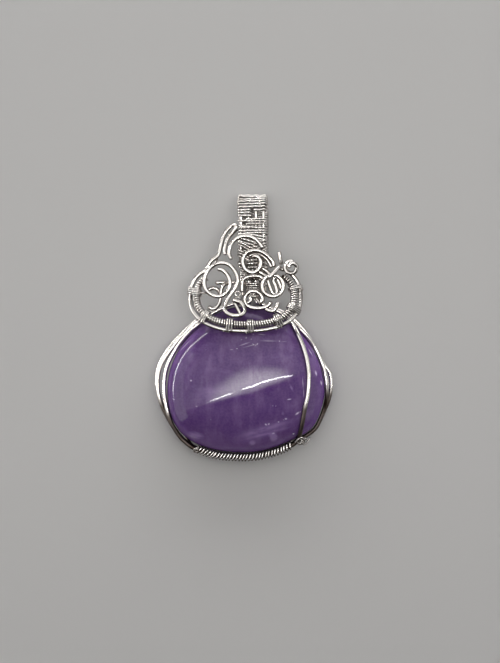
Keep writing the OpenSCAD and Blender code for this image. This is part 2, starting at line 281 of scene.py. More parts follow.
@dataclass(frozen=True)
class SilverFinish:
    """Polished silver wire, with tarnish and painted shade in its recesses, painted shade on its sides and
    painted shade low down on the pendant.

    Attributes:
        name: the material's name.
        bright: the colour of polished silver.
        dull: its colour where tarnish lies, and where the painted shade lies low down.
        dark: its colour in the recesses: tarnish there, and painted shade where close neighbours keep the
            light off.
        flank_shade: painted shade: the darker colour of the wires' sides.
        low_shade_brown: painted shade: the darker brown colour of the wires low down on the pendant, where
            they catch no highlight.
        low_shade: how much of that painted shade there is.
        low_shade_top: how far up the pendant it reaches, in metres.
        low_shade_fade: how far below that it is full.
        low_shade_slant: how much higher it reaches for each metre to the right.
        side_shade: how dark that painted shade makes the wires' sides.
        side_range: how level a surface is where it counts as a side, and as a top.
        recess_range: how shut in it is where a recess starts, and is full.
        reach: how far away a neighbour still shades a recess, in metres.
        gloss: the roughness of the polished and of the dull silver.
        blotch_range: the noise at which a blotch starts, and is full.
        grain_depth: the depth of the fine grain, in metres.
    """

    name: str
    bright: Colour = (0.98, 0.95, 0.915, 1)
    dull: Colour = (0.38, 0.305, 0.245, 1)
    dark: Colour = (0.026, 0.014, 0.009, 1)
    flank_shade: Colour = (0.115, 0.074, 0.051, 1)
    low_shade_brown: Colour = (0.052, 0.030, 0.021, 1)
    low_shade: float = 1.0
    low_shade_top: float = -12.3 * MM
    low_shade_fade: float = 2.7 * MM
    low_shade_slant: float = 0.06
    side_shade: float = 0.88
    side_range: Pair = (0.55, 0.97)
    recess_range: Pair = (0.18, 0.62)
    reach: float = 0.5 * MM
    gloss: Pair = (0.12, 0.30)
    blotch_range: Pair = (0.46, 0.76)
    grain_depth: float = 0.006 * MM

    def material(self) -> Material:
        """Builds the material."""
        bench = new_bench(self.name)
        place = bench.place()
        # Painted shade: the wires grow darker brown low down on the pendant, where they catch no
        # highlight.
        level = bench.axis(place, "Y") - bench.axis(place, "X") * self.low_shade_slant
        low_shade_mask = (1 - level.ramp(self.low_shade_top - self.low_shade_fade, self.low_shade_top)) * self.low_shade
        blotches = bench.noise(place, 300, 2).ramp(*self.blotch_range)
        tarnish_and_low_shade = blotches * 0.6 + low_shade_mask * 0.4
        grain = bench.noise(place, 6500, 3)
        # Tarnish and painted shade in the recesses, darker where neighbouring wires come close.
        recess = bench.shut_in(self.reach).ramp(*self.recess_range)
        # Painted shade: the wires' sides darker than their level tops.
        facing = bench.axis(bench.node("ShaderNodeTexCoord", output="Normal"), "Z")
        side_on = 1 - bench.maths("ABSOLUTE", facing).ramp(*self.side_range)
        polished = bench.mix(tarnish_and_low_shade * 0.5, self.bright, self.dull)
        side_shaded = bench.mix(side_on * self.side_shade, polished, self.flank_shade)
        low_shaded = bench.mix(low_shade_mask * (0.91 + blotches * 0.07), side_shaded, self.low_shade_brown)
        colour = bench.mix(recess * 0.95, low_shaded, self.dark)
        low, high = self.gloss
        roughness = low + (high - low) * (tarnish_and_low_shade * 0.6 + grain * 0.3) + recess * 0.25 + low_shade_mask * 0.2
        return bench.finish({
            "Base Color": colour,
            "Metallic": 1.0,
            "Roughness": roughness,
            "Normal": bench.bump(grain, 0.06, self.grain_depth),
        })


class Silver(Enum):
    """The finishes of the wires."""

    PLAIN = SilverFinish("silver_wire")
    FRAME = SilverFinish("frame_silver_wire", side_shade=0.25)
    # The front wire's painted shade low down starts further down, so its highlight runs longer.
    FRONT = SilverFinish("front_silver_wire", side_shade=0.25, low_shade_top=-14.6 * MM)
    FINE = SilverFinish("fine_silver_wire", low_shade=0.15, gloss=(0.14, 0.36))
    COILED = SilverFinish("coiled_silver_wire", low_shade=0.0, side_shade=0.35, reach=0.25 * MM)
    WOVEN = SilverFinish("woven_silver_wire", low_shade=0.0, side_shade=0.45)
    # Less painted shade in its recesses and low down, for the fine wire wound under the stone.
    LESS_SHADED = SilverFinish("less_shaded_silver_wire", low_shade=0.1, reach=0.2 * MM, gloss=(0.14, 0.36))
    # Painted shade: near-black silver for the coil's core, which lies in shade under the coil.
    SHADED = SilverFinish("shaded_silver_wire", bright=(0.04, 0.029, 0.024, 1), gloss=(0.3, 0.45))

    @cached_property
    def material(self) -> Material:
        """The finish's material, built once."""
        return self.value.material()


@dataclass(frozen=True)
class StoneFinish:
    """Polished translucent purple stone with pale veils, painted light at its rim, and painted haze and
    highlights on its face.

    Attributes:
        name: the material's name.
        deep: the colour where the stone is clear.
        mid: the colour of most of it.
        rim: painted light: the paler colour at its edge, for the light that shines through it.
        pale: the colour of the veils, and of the painted reflection haze up the stone.
        fleck_and_glint: the colour of the brightest flecks and of the painted highlights.
        shadow: the colour under the oval and its scrolls.
        reach: how far away a wire still shades the stone, in metres.
        edge_z: the heights between which the rim passes into the face, in metres.
        front_z: those above which the patches and flecks show.
        upper_haze_y: the zone up the stone in which painted reflection haze makes it paler, in metres.
        foot_y: the zone at its foot in which it does.
        oval_y: the zone in which the oval's shade grows.
        veils: the cloudy patches: across, up, half length, half width, turn, strength.
        flecks_and_glints: the bright flecks near the face, and painted highlights where lights and wires
            are reflected in it, in the same columns.
    """

    name: str
    deep: Colour = (0.118, 0.050, 0.222, 1)
    mid: Colour = (0.176, 0.092, 0.268, 1)
    rim: Colour = (0.240, 0.110, 0.430, 1)
    pale: Colour = (0.340, 0.220, 0.488, 1)
    fleck_and_glint: Colour = (0.88, 0.76, 1.0, 1)
    shadow: Colour = (0.040, 0.026, 0.052, 1)
    reach: float = 4.0 * MM
    edge_z: Pair = (5.4 * MM, 8.6 * MM)
    front_z: Pair = (4.0 * MM, 5.5 * MM)
    upper_haze_y: Pair = (-22 * MM, -4 * MM)
    foot_y: Pair = (-24 * MM, -19 * MM)
    oval_y: Pair = (-1.9 * MM, 1.2 * MM)
    veils: Sequence[Row] = (
        (5.0, -19.7, 7.4, 0.7, 17, 0.8), (4.4, -21.0, 6.0, 0.45, 15, 0.8),
        (4.0, -20.3, 10.0, 2.0, 17, 0.5), (5.9, -21.85, 1.15, 1.0, 60, 2.0),
        (5.5, -21.2, 1.0, 0.7, 20, 1.0), (1.7, -22.8, 0.9, 0.75, 15, 2.0),
        (7.65, -16.9, 0.6, 0.4, 90, 0.7), (8.25, -18.05, 0.7, 0.5, 20, 0.7),
        (4.6, -19.3, 0.7, 0.5, 0, 0.7), (9.35, -12.0, 1.2, 0.35, -65, 0.8),
        (-9.6, -21.4, 2.2, 1.0, -8, 1.8), (0.2, -3.3, 1.3, 0.35, 17, 0.50),
        (4.5, -2.6, 2.8, 0.5, -4, 0.45), (-7.0, -13.0, 5.5, 2.4, 25, 0.4),
        (9.5, -15.5, 2.5, 1.4, 50, 0.30), (13.0, -17.0, 2.0, 1.2, 60, 0.25),
    )
    # Real flecks, and painted highlights where lights and wires are reflected in the face.
    flecks_and_glints: Sequence[Row] = (
        (-0.45, -2.5, 0.18, 0.13, 0, 0.6), (0.45, -2.15, 0.25, 0.14, 15, 0.8),
        (1.45, -2.4, 0.18, 0.14, 0, 0.7), (1.85, -1.45, 0.16, 0.14, 0, 0.8),
        (3.5, -1.5, 1.1, 0.11, -5, 0.6), (0.15, -3.35, 1.6, 0.12, 19, 0.6),
        (1.4, -3.65, 2.2, 0.11, 15, 0.45), (1.85, -3.45, 0.35, 0.12, -45, 0.9),
        (2.35, -3.6, 0.4, 0.1, 40, 0.7), (2.65, -3.35, 0.28, 0.15, 80, 1.0),
        (4.9, -2.75, 2.3, 0.11, -1, 0.6), (7.0, -2.8, 0.2, 0.15, 0, 1.0), (7.9, -2.9, 0.8, 0.1, -3, 0.35),
        (-2.4, -4.45, 0.5, 0.1, 0, 0.5), (-1.35, -4.25, 0.22, 0.14, 0, 0.9),
        (-10.4, -10.55, 0.28, 0.25, 0, 1.0), (8.9, -14.2, 0.6, 0.18, 8, 0.9),
        (10.5, -17.0, 0.7, 0.27, 35, 1.0), (11.1, -16.7, 0.3, 0.13, 80, 0.6),
        (8.25, -18.05, 0.32, 0.24, 0, 0.9), (7.8, -18.25, 0.2, 0.14, 0, 0.4),
        (6.8, -18.65, 0.28, 0.22, 0, 0.7), (4.3, -19.15, 0.34, 0.22, -40, 1.0),
        (4.9, -19.05, 0.3, 0.2, 60, 1.0), (5.65, -15.45, 0.22, 0.16, 0, 0.3),
        (6.25, -15.5, 0.24, 0.16, 60, 0.3), (9.8, -21.15, 0.28, 0.2, 0, 1.0),
        (5.8, -20.95, 0.45, 0.22, 15, 0.7), (12.4, -14.6, 0.25, 0.15, 40, 0.5),
        (-9.3, -15.6, 0.3, 0.2, 0, 0.4), (11.6, -11.0, 1.5, 0.14, -86, 0.55),
        (14.25, -9.15, 0.75, 0.27, -75, 1.0), (15.35, -11.1, 0.7, 0.25, -78, 1.0),
        (11.8, -3.2, 1.4, 0.13, -51, 0.6), (13.2, -5.0, 1.2, 0.14, -59, 0.8),
        (-11.6, -3.6, 2.2, 0.13, 46, 0.6), (11.75, -13.0, 1.3, 0.13, -89, 0.45),
    )

    def marked(self, bench: NodeBench, marks: Sequence[Row]) -> Signal:
        """How strongly any of some marks shows at the point that is shaded."""
        shown: Any = 0.0
        for x, y, half_long, half_wide, turn, strength in marks:
            inputs = {
                "Vector": bench.place(),
                "Location": (x * MM, y * MM, 0),
                "Rotation": (0, 0, math.radians(turn)),
                "Scale": (half_long * MM, half_wide * MM, 1),
            }
            inside = bench.node("ShaderNodeMapping", {"vector_type": "TEXTURE"}, inputs)
            far = bench.node("ShaderNodeVectorMath", {"operation": "LENGTH"}, {0: inside}, "Value")
            shown = (1 - far.ramp(0.0, 1.0)) * strength + shown
        return shown

    def material(self) -> Material:
        """Builds the material."""
        bench = new_bench(self.name)
        place = bench.place()
        up, height = bench.axis(place, "Y"), bench.axis(place, "Z")
        # Painted reflection haze: the stone paler up towards the oval, where the lights above are
        # reflected.
        upper_haze = up.ramp(*self.upper_haze_y)
        foot = 1 - up.ramp(*self.foot_y)
        edge = 1 - height.ramp(*self.edge_z)
        front = height.ramp(*self.front_z)
        # The cloudiness of the stone's body: upright streaks, clouds and grain
        streaks = bench.noise(bench.stretched(place, (0, 0, 0), (1, 0.35, 1)), 620, 3, 0.15)
        clouds = bench.noise(place, 210, 4, 0.6)
        grain = bench.noise(place, 2400, 2).ramp(0.35, 0.65)
        cloudy = clouds.ramp(0.3, 0.72) * 0.40 + streaks.ramp(0.30, 0.72) * 0.5 + grain * 0.2
        # The body grows paler up the stone with painted reflection haze, and paler at its foot.
        body = bench.mix(cloudy + upper_haze * 0.2 + foot * 0.6, self.deep, self.mid)
        # Painted light: the stone paler towards its edge, for light shining through it.
        rimmed = bench.mix(edge * 0.8, body, self.rim)
        # The veils in it: faint ones everywhere, and the patches that are listed
        slanting = bench.stretched(place, (0, 0, math.radians(-22)), (0.25, 1, 1))
        bands = bench.noise(slanting, 420, 4, 0.5).ramp(0.52, 0.8)
        wisps = bench.noise(slanting, 900, 4, 1.2).ramp(0.25, 0.65)
        faint = streaks.ramp(0.45, 0.80) * 0.5 + grain * 0.1 + bands * 0.35
        veils = self.marked(bench, self.veils) * (0.35 + wisps * 0.65) * front
        # Painted reflection haze adds to the faint veils up the stone.
        veiled = bench.mix(faint * (0.45 + upper_haze * 0.4) + veils, rimmed, self.pale)
        # Bright flecks, and the listed painted highlights of reflected lights and wires.
        flecks = bench.noise(place, 2600, 2).ramp(0.74, 0.80) * bench.noise(place, 260, 1).ramp(0.55, 0.65)
        specks_and_glints = flecks * 0.5 + self.marked(bench, self.flecks_and_glints) * front
        # The shade of the oval and of the wires
        under_oval = up.ramp(*self.oval_y) * 0.62
        shade = bench.maths("MAXIMUM", under_oval, bench.shut_in(self.reach).ramp(0.3, 0.8) * 0.75)
        return bench.finish({
            "Base Color": bench.mix(shade, bench.mix(specks_and_glints, veiled, self.fleck_and_glint), self.shadow),
            "Roughness": 0.24,
            "IOR": 1.45,
            "Specular IOR Level": 0.0,
            "Coat Weight": (1 - edge * 0.85) * (1 - under_oval * 0.7),
            "Coat Roughness": 0.012,
            "Coat IOR": 1.434,
            "Subsurface Weight": 0.55,
            "Subsurface Radius": (0.8, 0.45, 1.0),
            "Subsurface Scale": 3.0 * MM,
            "Normal": bench.bump(bench.noise(place, 4200, 2), 0.04, 0.004 * MM),
        })


@dataclass(frozen=True)
class FloorFinish:
    """A plain pale floor.

    Attributes:
        name: the material's name.
        tone: its colour.
    """

    name: str = "pale_floor"
    tone: Colour = (0.66, 0.655, 0.65, 1)

    def material(self) -> Material:
        """Builds the material."""
        return new_bench(self.name).finish({"Base Color": self.tone, "Roughness": 0.85})


@dataclass(frozen=True)
class GlowFinish:
    """The face of a light that is brightest along one edge, or even all over.

    Attributes:
        name: the material's name.
        radiance: how bright it is.
        haze: how much brighter it is close to the edge.
        size: the face's size along that edge and away from it, or None where it is even.
        bow: how far the middle of that edge bends away from a straight line, in metres.
        bow_ends: how far aside of the middle the bend starts to straighten, and has.
        haze_ends: how far aside the haze starts to fade, and has.
        haze_depth: how far from the edge the haze reaches.
        edge_depth: how far behind the edge the light still shows.
        fade: how far aside the even light starts to fade, and has, in widths of the face.
        warm: the light's colour where it fades.
    """

    name: str
    radiance: float
    haze: float = 0.0
    size: Pair | None = None
    bow: float = 0.0
    bow_ends: Pair = (20 * MM, 150 * MM)
    haze_ends: Pair = (30 * MM, 145 * MM)
    haze_depth: float = 36 * MM
    edge_depth: float = 13 * MM
    fade: Pair = (0.1, 0.5)
    warm: Colour = (1, 0.985, 0.96, 1)

    def material(self) -> Material:
        """Builds the material."""
        bench = new_bench(self.name)
        glow: Any = WHITE
        if self.size:
            width, depth = self.size
            place = bench.place()
            aside = bench.maths("ABSOLUTE", bench.axis(place, "X"))
            away = bench.axis(place, "Y") - (1 - aside.ramp(*self.bow_ends)) * self.bow
            behind = 1 - (0 - away).ramp(0.0, self.edge_depth)
            close = (1 - away.ramp(0.0, self.haze_depth)) * (1 - aside.ramp(*self.haze_ends)) * self.haze
            narrow, wide = (width * share for share in self.fade)
            even = (1 - away.ramp(0.0, depth)) * (1 - aside.ramp(narrow, wide))
            level = (even + close) * behind * (1 / (1 + self.haze))
            glow = bench.mix(level, BLACK, self.warm)
        return bench.finish({
            "Base Color": BLACK,
            "Specular IOR Level": 0.0,
            "Emission Color": glow,
            "Emission Strength": self.radiance * (1 + self.haze),
        })


# Smooth courses


def between(value: float, one_end: float, other_end: float) -> float:
    """value, kept between the two ends."""
    return min(max(value, min(one_end, other_end)), max(one_end, other_end))


def swell(across: float, up: float, fullness: float) -> float:
    """How far a superellipse reaches, for a direction's shares of its two half axes."""
    return (across**fullness + up**fullness) ** (-1 / fullness)


def spot(centre: Pair, turn: float, reach: float, z: float) -> Point:
    """The place at a turn in degrees and a distance from a centre, at a height."""
    angle = math.radians(turn)
    return centre[0] + reach * math.cos(angle), centre[1] + reach * math.sin(angle), z


def spans(points: list[Vector]) -> Iterator[tuple[Vector, Vector, Vector, Vector]]:
    """Each stretch of a path between the point before it and the one after, made up at the ends."""
    for i, (start, stop) in enumerate(zip(points, points[1:])):
        before = points[i - 1] if i else 2 * start - stop
        after = points[i + 2] if i + 2 < len(points) else 2 * stop - start
        yield before, start, stop, after


def bend(before: Vector, start: Vector, stop: Vector, after: Vector, t: float) -> Vector:
    """A point of the smooth curve from start to stop.

    Args:
        before: the bend before start.
        start: where the curve starts.
        stop: where it stops.
        after: the bend after stop.
        t: how far along it the point is, from 0 to 1.

    Returns:
        The point.
    """
    return 0.5 * (
        2 * start
        + (stop - before) * t
        + (2 * before - 5 * start + 4 * stop - after) * t**2
        + (3 * start - before - 3 * stop + after) * t**3
    )


def smooth_path(rows: Bends, spacing: float) -> list[Vector]:
    """Points of a smooth curve through the rows of a table, whose height stays between theirs."""
    points = [Vector(row) for row in rows]
    path = []
    for before, start, stop, after in spans(points):
        steps = max(1, math.ceil((stop - start).length / spacing))
        for k in range(steps):
            point = bend(before, start, stop, after, k / steps)
            point.z = between(point.z, start.z, stop.z)
            path.append(point)
    return [*path, points[-1]]


def softened(points: list[Vector]) -> list[Vector]:
    """A path with its corners rounded, by one more point in each stretch."""
    return [*(bend(*span, t) for span in spans(points) for t in (0.0, 0.5)), points[-1]]


def arc(centre: Point, radius: float, start: float, stop: float, bits: int) -> list[Vector]:
    """The points that part a level arc, from one turn to another in radians, into bits."""
    turns = [start + (stop - start) * k / bits for k in range(bits + 1)]
    return [Vector(centre) + radius * Vector((math.cos(turn), math.sin(turn), 0)) for turn in turns]


@dataclass
class Course:
    """A line that something is wound on, measured along its length.

    Attributes:
        points: the line's points.
        across: the direction that counts as sideways all along it, or None for level with the table.
    """

    points: list[Vector]
    across: Vector | None = None
    marks: list[float] = field(init=False)

    def __post_init__(self) -> None:
        """Measures the line."""
        self.marks = [0.0]
        for start, stop in zip(self.points, self.points[1:]):
            self.marks.append(self.marks[-1] + (stop - start).length)

    @property
    def length(self) -> float:
        """The line's whole length."""
        return self.marks[-1]

    def within(self, margin: float) -> Pair:
        """The lengths that lie a margin inside the line's two ends."""
        return margin, self.length - margin

    def stretch(self, s: float) -> tuple[int, float]:
        """The stretch of the line that holds length s, and the share of it that s has passed."""
        low, high = 0, len(self.marks) - 2
        while low < high:
            middle = (low + high + 1) // 2
            low, high = (middle, high) if self.marks[middle] <= s else (low, middle - 1)
        return low, (s - self.marks[low]) / (self.marks[low + 1] - self.marks[low])

    def point(self, s: float) -> Vector:
        """The line's own point at length s."""
        i, share = self.stretch(s)
        return self.points[i].lerp(self.points[i + 1], share)

    def heading(self, s: float) -> Vector:
        """The direction of the line at length s."""
        i, share = self.stretch(s)
        last = len(self.points) - 1
        here = self.points[i + 1] - self.points[max(0, i - 1)]
        ahead = self.points[min(last, i + 2)] - self.points[i]
        return here.normalized().lerp(ahead.normalized(), between(share, 0, 1)).normalized()

    def at(self, s: float, side: float = 0.0, out: float = 0.0) -> Vector:
        """The point at length s, moved sideways and outwards from the line."""
        ahead = self.heading(s)
        sideways = self.across or UP.cross(ahead).normalized()
        outwards = sideways.cross(ahead) if self.across else ahead.cross(sideways)
        return self.point(s) + side * sideways + out * outwards


# Wires and windings


@dataclass
class Wire:
    """A round wire along a path.

    Attributes:
        path: the points of its middle line.
        thickness: its diameter.
        rounded: how far from each end its file-rounded tip starts, in diameters.
        flat: the share of its section's area that the very end keeps.
        rings: how far round the tip's quarter circle its rings lie, in degrees.
    """

    path: list[Vector]
    thickness: float
    rounded: float = 0.3
    flat: float = 0.12
    rings: tuple[float, ...] = (0, 35, 65)

    def spline(self, curve: bpy.types.Curve) -> None:
        """Adds the wire to a curve whose bevel is one millimetre deep."""
        course = Course(self.path)
        tip = self.rounded * self.thickness
        ends = [tip * (1 - math.cos(math.radians(ring))) for ring in self.rings]
        inner = [mark for mark in course.marks if tip < mark < course.length - tip]
        marks = [*ends, *inner, *(course.length - s for s in reversed(ends))]
        spline = curve.splines.new("POLY")
        spline.points.add(len(marks) - 1)
        spline.use_smooth = True
        for target, mark in zip(spline.points, marks):
            near = min(1.0, min(mark, course.length - mark) / tip)
            target.co = (*(course.point(mark) * MM), 1)
            target.radius = self.thickness / 2 * math.sqrt(max(self.flat, 1 - (1 - near) ** 2))


def slipped(slips: Sequence[float], turns: float) -> float:
    """How far a strand has slipped after so many turns, each turn having its own slip."""
    turn, share = divmod(turns, 1)
    return slips[int(turn)] * (1 - share) + slips[int(turn) + 1] * share


def winding(course: Course, loop: Loop, thickness: float, margin: float, pitch: float,
            lean: float, loose: float, seed: int) -> Wire:
    """A strand wound round a course.

    Args:
        course: what it is wound on.
        loop: the points of one turn, sideways and outwards from the course.
        thickness: the strand's diameter.
        margin: how far inside the course's ends it starts and stops.
        pitch: how far apart its turns are.
        lean: how far it runs ahead for each millimetre sideways.
        loose: how unevenly its turns lie, in millimetres.
        seed: the seed of that unevenness.

    Returns:
        The strand.
    """
    start, stop = course.within(margin)
    steps = len(loop)
    turns = max(1, round((stop - start) / pitch))
    shaky = random.Random(seed)
    slips = [shaky.uniform(-loose, loose) for _ in range(turns + 2)]
    path = []
    for step in range(turns * steps + 1):
        side, out = loop[step % steps]
        s = start + (stop - start) * step / (turns * steps) + lean * side + slipped(slips, step / steps)
        path.append(course.at(between(s, 0, course.length), side, out))
    return Wire(path, thickness)


def evenly(outline: list[Vector], steps: int) -> list[Pair]:
    """Points evenly spaced along a closed level outline."""
    closed = Course([*outline, outline[0]])
    return [tuple(closed.point(closed.length * k / steps).xy) for k in range(steps)]


def belt(gap: float, first: float, second: float, steps: int) -> list[Pair]:
    """A belt round two circles, as points evenly spaced along it.

    Args:
        gap: the distance between their centres, the first being at the origin.
        first: the first circle's radius.
        second: the second's, whose circle lies to the right.
        steps: how many points.

    Returns:
        The points, counter-clockwise.
    """
    tilt = math.acos((first - second) / gap) if gap > abs(first - second) else math.pi / 2
    left = arc((0, 0, 0), first, tilt, 2 * math.pi - tilt, bits=24)
    right = arc((gap, 0, 0), second, -tilt, tilt, bits=24)
    return evenly(left + right, steps)


def hoop(half_across: float, half_out: float, radius: float, steps: int) -> list[Pair]:
    """A rounded oblong, as points evenly spaced along it, from the middle of its right side."""
    corners = []
    for quarter, (right, top) in enumerate(((1, 1), (-1, 1), (-1, -1), (1, -1))):
        centre = (right * (half_across - radius), top * (half_out - radius), 0)
        start = quarter * math.pi / 2
        corners += arc(centre, radius, start, start + math.pi / 2, bits=8)
    return evenly(corners, steps)


# Finished pieces


def placed(name: str, data: bpy.types.ID) -> Piece:
    """Puts a new object of that data into the scene."""
    piece = bpy.data.objects.new(name, data)
    bpy.context.scene.collection.objects.link(piece)
    return piece


def meshed(name: str, shape: bmesh.types.BMesh) -> bpy.types.Mesh:
    """Turns a shape that is ready into a mesh."""
    mesh = bpy.data.meshes.new(name)
    shape.to_mesh(mesh)
    shape.free()
    return mesh


def finished(name: str, mesh: bpy.types.Mesh, material: Material, slot: Slot,
             nodes: Sequence[str] = ()) -> Piece:
    """Makes a piece of a mesh, on the root body.

    Args:
        name: the piece's name.
        mesh: its mesh, in place, in metres.
        material: what it is finished with.
        slot: the record's slot for that; not used.
        nodes: the CAD nodes that it stands for.

    Returns:
        The piece.
    """
    skin = bmesh.new()
    skin.from_mesh(mesh)
    bmesh.ops.recalc_face_normals(skin, faces=skin.faces)
    skin.to_mesh(mesh)
    skin.free()
    mesh.name = name
    mesh.materials.clear()
    mesh.materials.append(material)
    piece = placed(name, mesh)
    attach(piece, "root")
    if nodes:
        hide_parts(*nodes)
    log.info("%s: %d faces", name, len(mesh.polygons))
    return piece


def drawn(name: str, wires: Sequence[Wire], silver: Silver, nodes: Sequence[str] = (),
          roundness: Roundness = Roundness.FINE) -> Piece:
    """Makes one piece of silver wires.

    Args:
        name: the piece's name.
        wires: the wires in it.
        silver: what they are finished with.
        nodes: the CAD nodes that it stands for.
        roundness: how finely their section is drawn.

    Returns:
        The piece.
    """
    curve = bpy.data.curves.new(name, "CURVE")
    curve.dimensions = "3D"
    curve.bevel_depth = MM
    curve.bevel_resolution = roundness.value
    curve.use_fill_caps = True
    for wire in wires:
        wire.spline(curve)
    rail = placed(name + "_curve", curve)
    bpy.context.view_layer.update()
    mesh = bpy.data.meshes.new_from_object(rail.evaluated_get(bpy.context.evaluated_depsgraph_get()))
    bpy.data.objects.remove(rail)
    bpy.data.curves.remove(curve)
    return finished(name, mesh, silver.material, Slot.SILVER, nodes)


# The pieces of the pendant


@dataclass
class Stone:
    """The domed stone: an oblong outline of half superellipses, bulging to its face and back."""

    # Its width, its length above and below its centre, and how far it bulges from its girdle
    width: float = 31.6
    above: float = 16.8
    below: float = 12.5
    face_bulge: float = 6.2
    back_bulge: float = 4.2
    girdle_z: float = 4.23
    centre: Pair = (0.4, -12.6)
    # How full the curves are: 2 is an ellipse, and more is squarer
    full_above: float = 1.87
    full_below_left: float = 2.5
    full_below_right: float = 1.9
    full_face: float = 2.6
    full_back: float = 3.0
    # The outline is fuller at its lower right: by how much, around which turn, how narrowly
    corner: tuple[float, float, float] = (0.75, 330, 3.5)
    # The mesh's facets round the outline, and from its back to its face
    segments: tuple[int, int] = (180, 96)

    def outline(self, turn: float) -> float:
        """The outline's distance from the centre at a turn in degrees."""
        c, s = math.cos(math.radians(turn)), math.sin(math.radians(turn))
        fullness = self.full_above if s > 0 else self.full_below_left if c < 0 else self.full_below_right
        x = abs(c) / (self.width / 2)
        y = abs(s) / (self.above if s > 0 else self.below)
        out, corner_turn, narrowness = self.corner
        away = math.acos(max(-1.0, min(1.0, math.cos(math.radians(turn - corner_turn)))))
        fuller = out * math.cos(min(math.pi / 2, narrowness * away)) ** 3
        return swell(x, y, fullness) + fuller

    def seat(self, turn: float, stand_off: float, bulge: float, fullness: float) -> float:
        """How far from the girdle a frame wire lies where it crosses the face or back."""
        clear = GAUGE.frame / 2 + 2 * GAUGE.gap
        share = (self.outline(turn) + stand_off) / (self.outline(turn) + clear)
        return 0.0 if share >= 1 else (bulge + clear) * (1 - share**fullness) ** (1 / fullness)

    def moulded(self, ball: Vector) -> Vector:
        """Where a point of a ball of radius 1 lies on the stone."""
        turn = math.degrees(math.atan2(ball.y, ball.x))
        level, rise = math.hypot(ball.x, ball.y), abs(ball.z)
        fullness = self.full_face if ball.z > 0 else self.full_back
        bulge = self.face_bulge if ball.z > 0 else -self.back_bulge
        stretch = swell(level, rise, fullness)
        height = self.girdle_z + bulge * rise * stretch
        return Vector(spot(self.centre, turn, self.outline(turn) * level * stretch, height))

    def build(self) -> Piece:
        """Shapes a ball into the stone."""
        around, over = self.segments
        ball = bmesh.new()
        bmesh.ops.create_uvsphere(ball, u_segments=around, v_segments=over, radius=1)
        for corner in ball.verts:
            corner.co = self.moulded(corner.co) * MM
        mesh = meshed("polished_stone", ball)
        mesh.shade_smooth()
        purple = StoneFinish("purple_stone").material()
        return finished("polished_stone", mesh, purple, Slot.STONE, ["stone"])


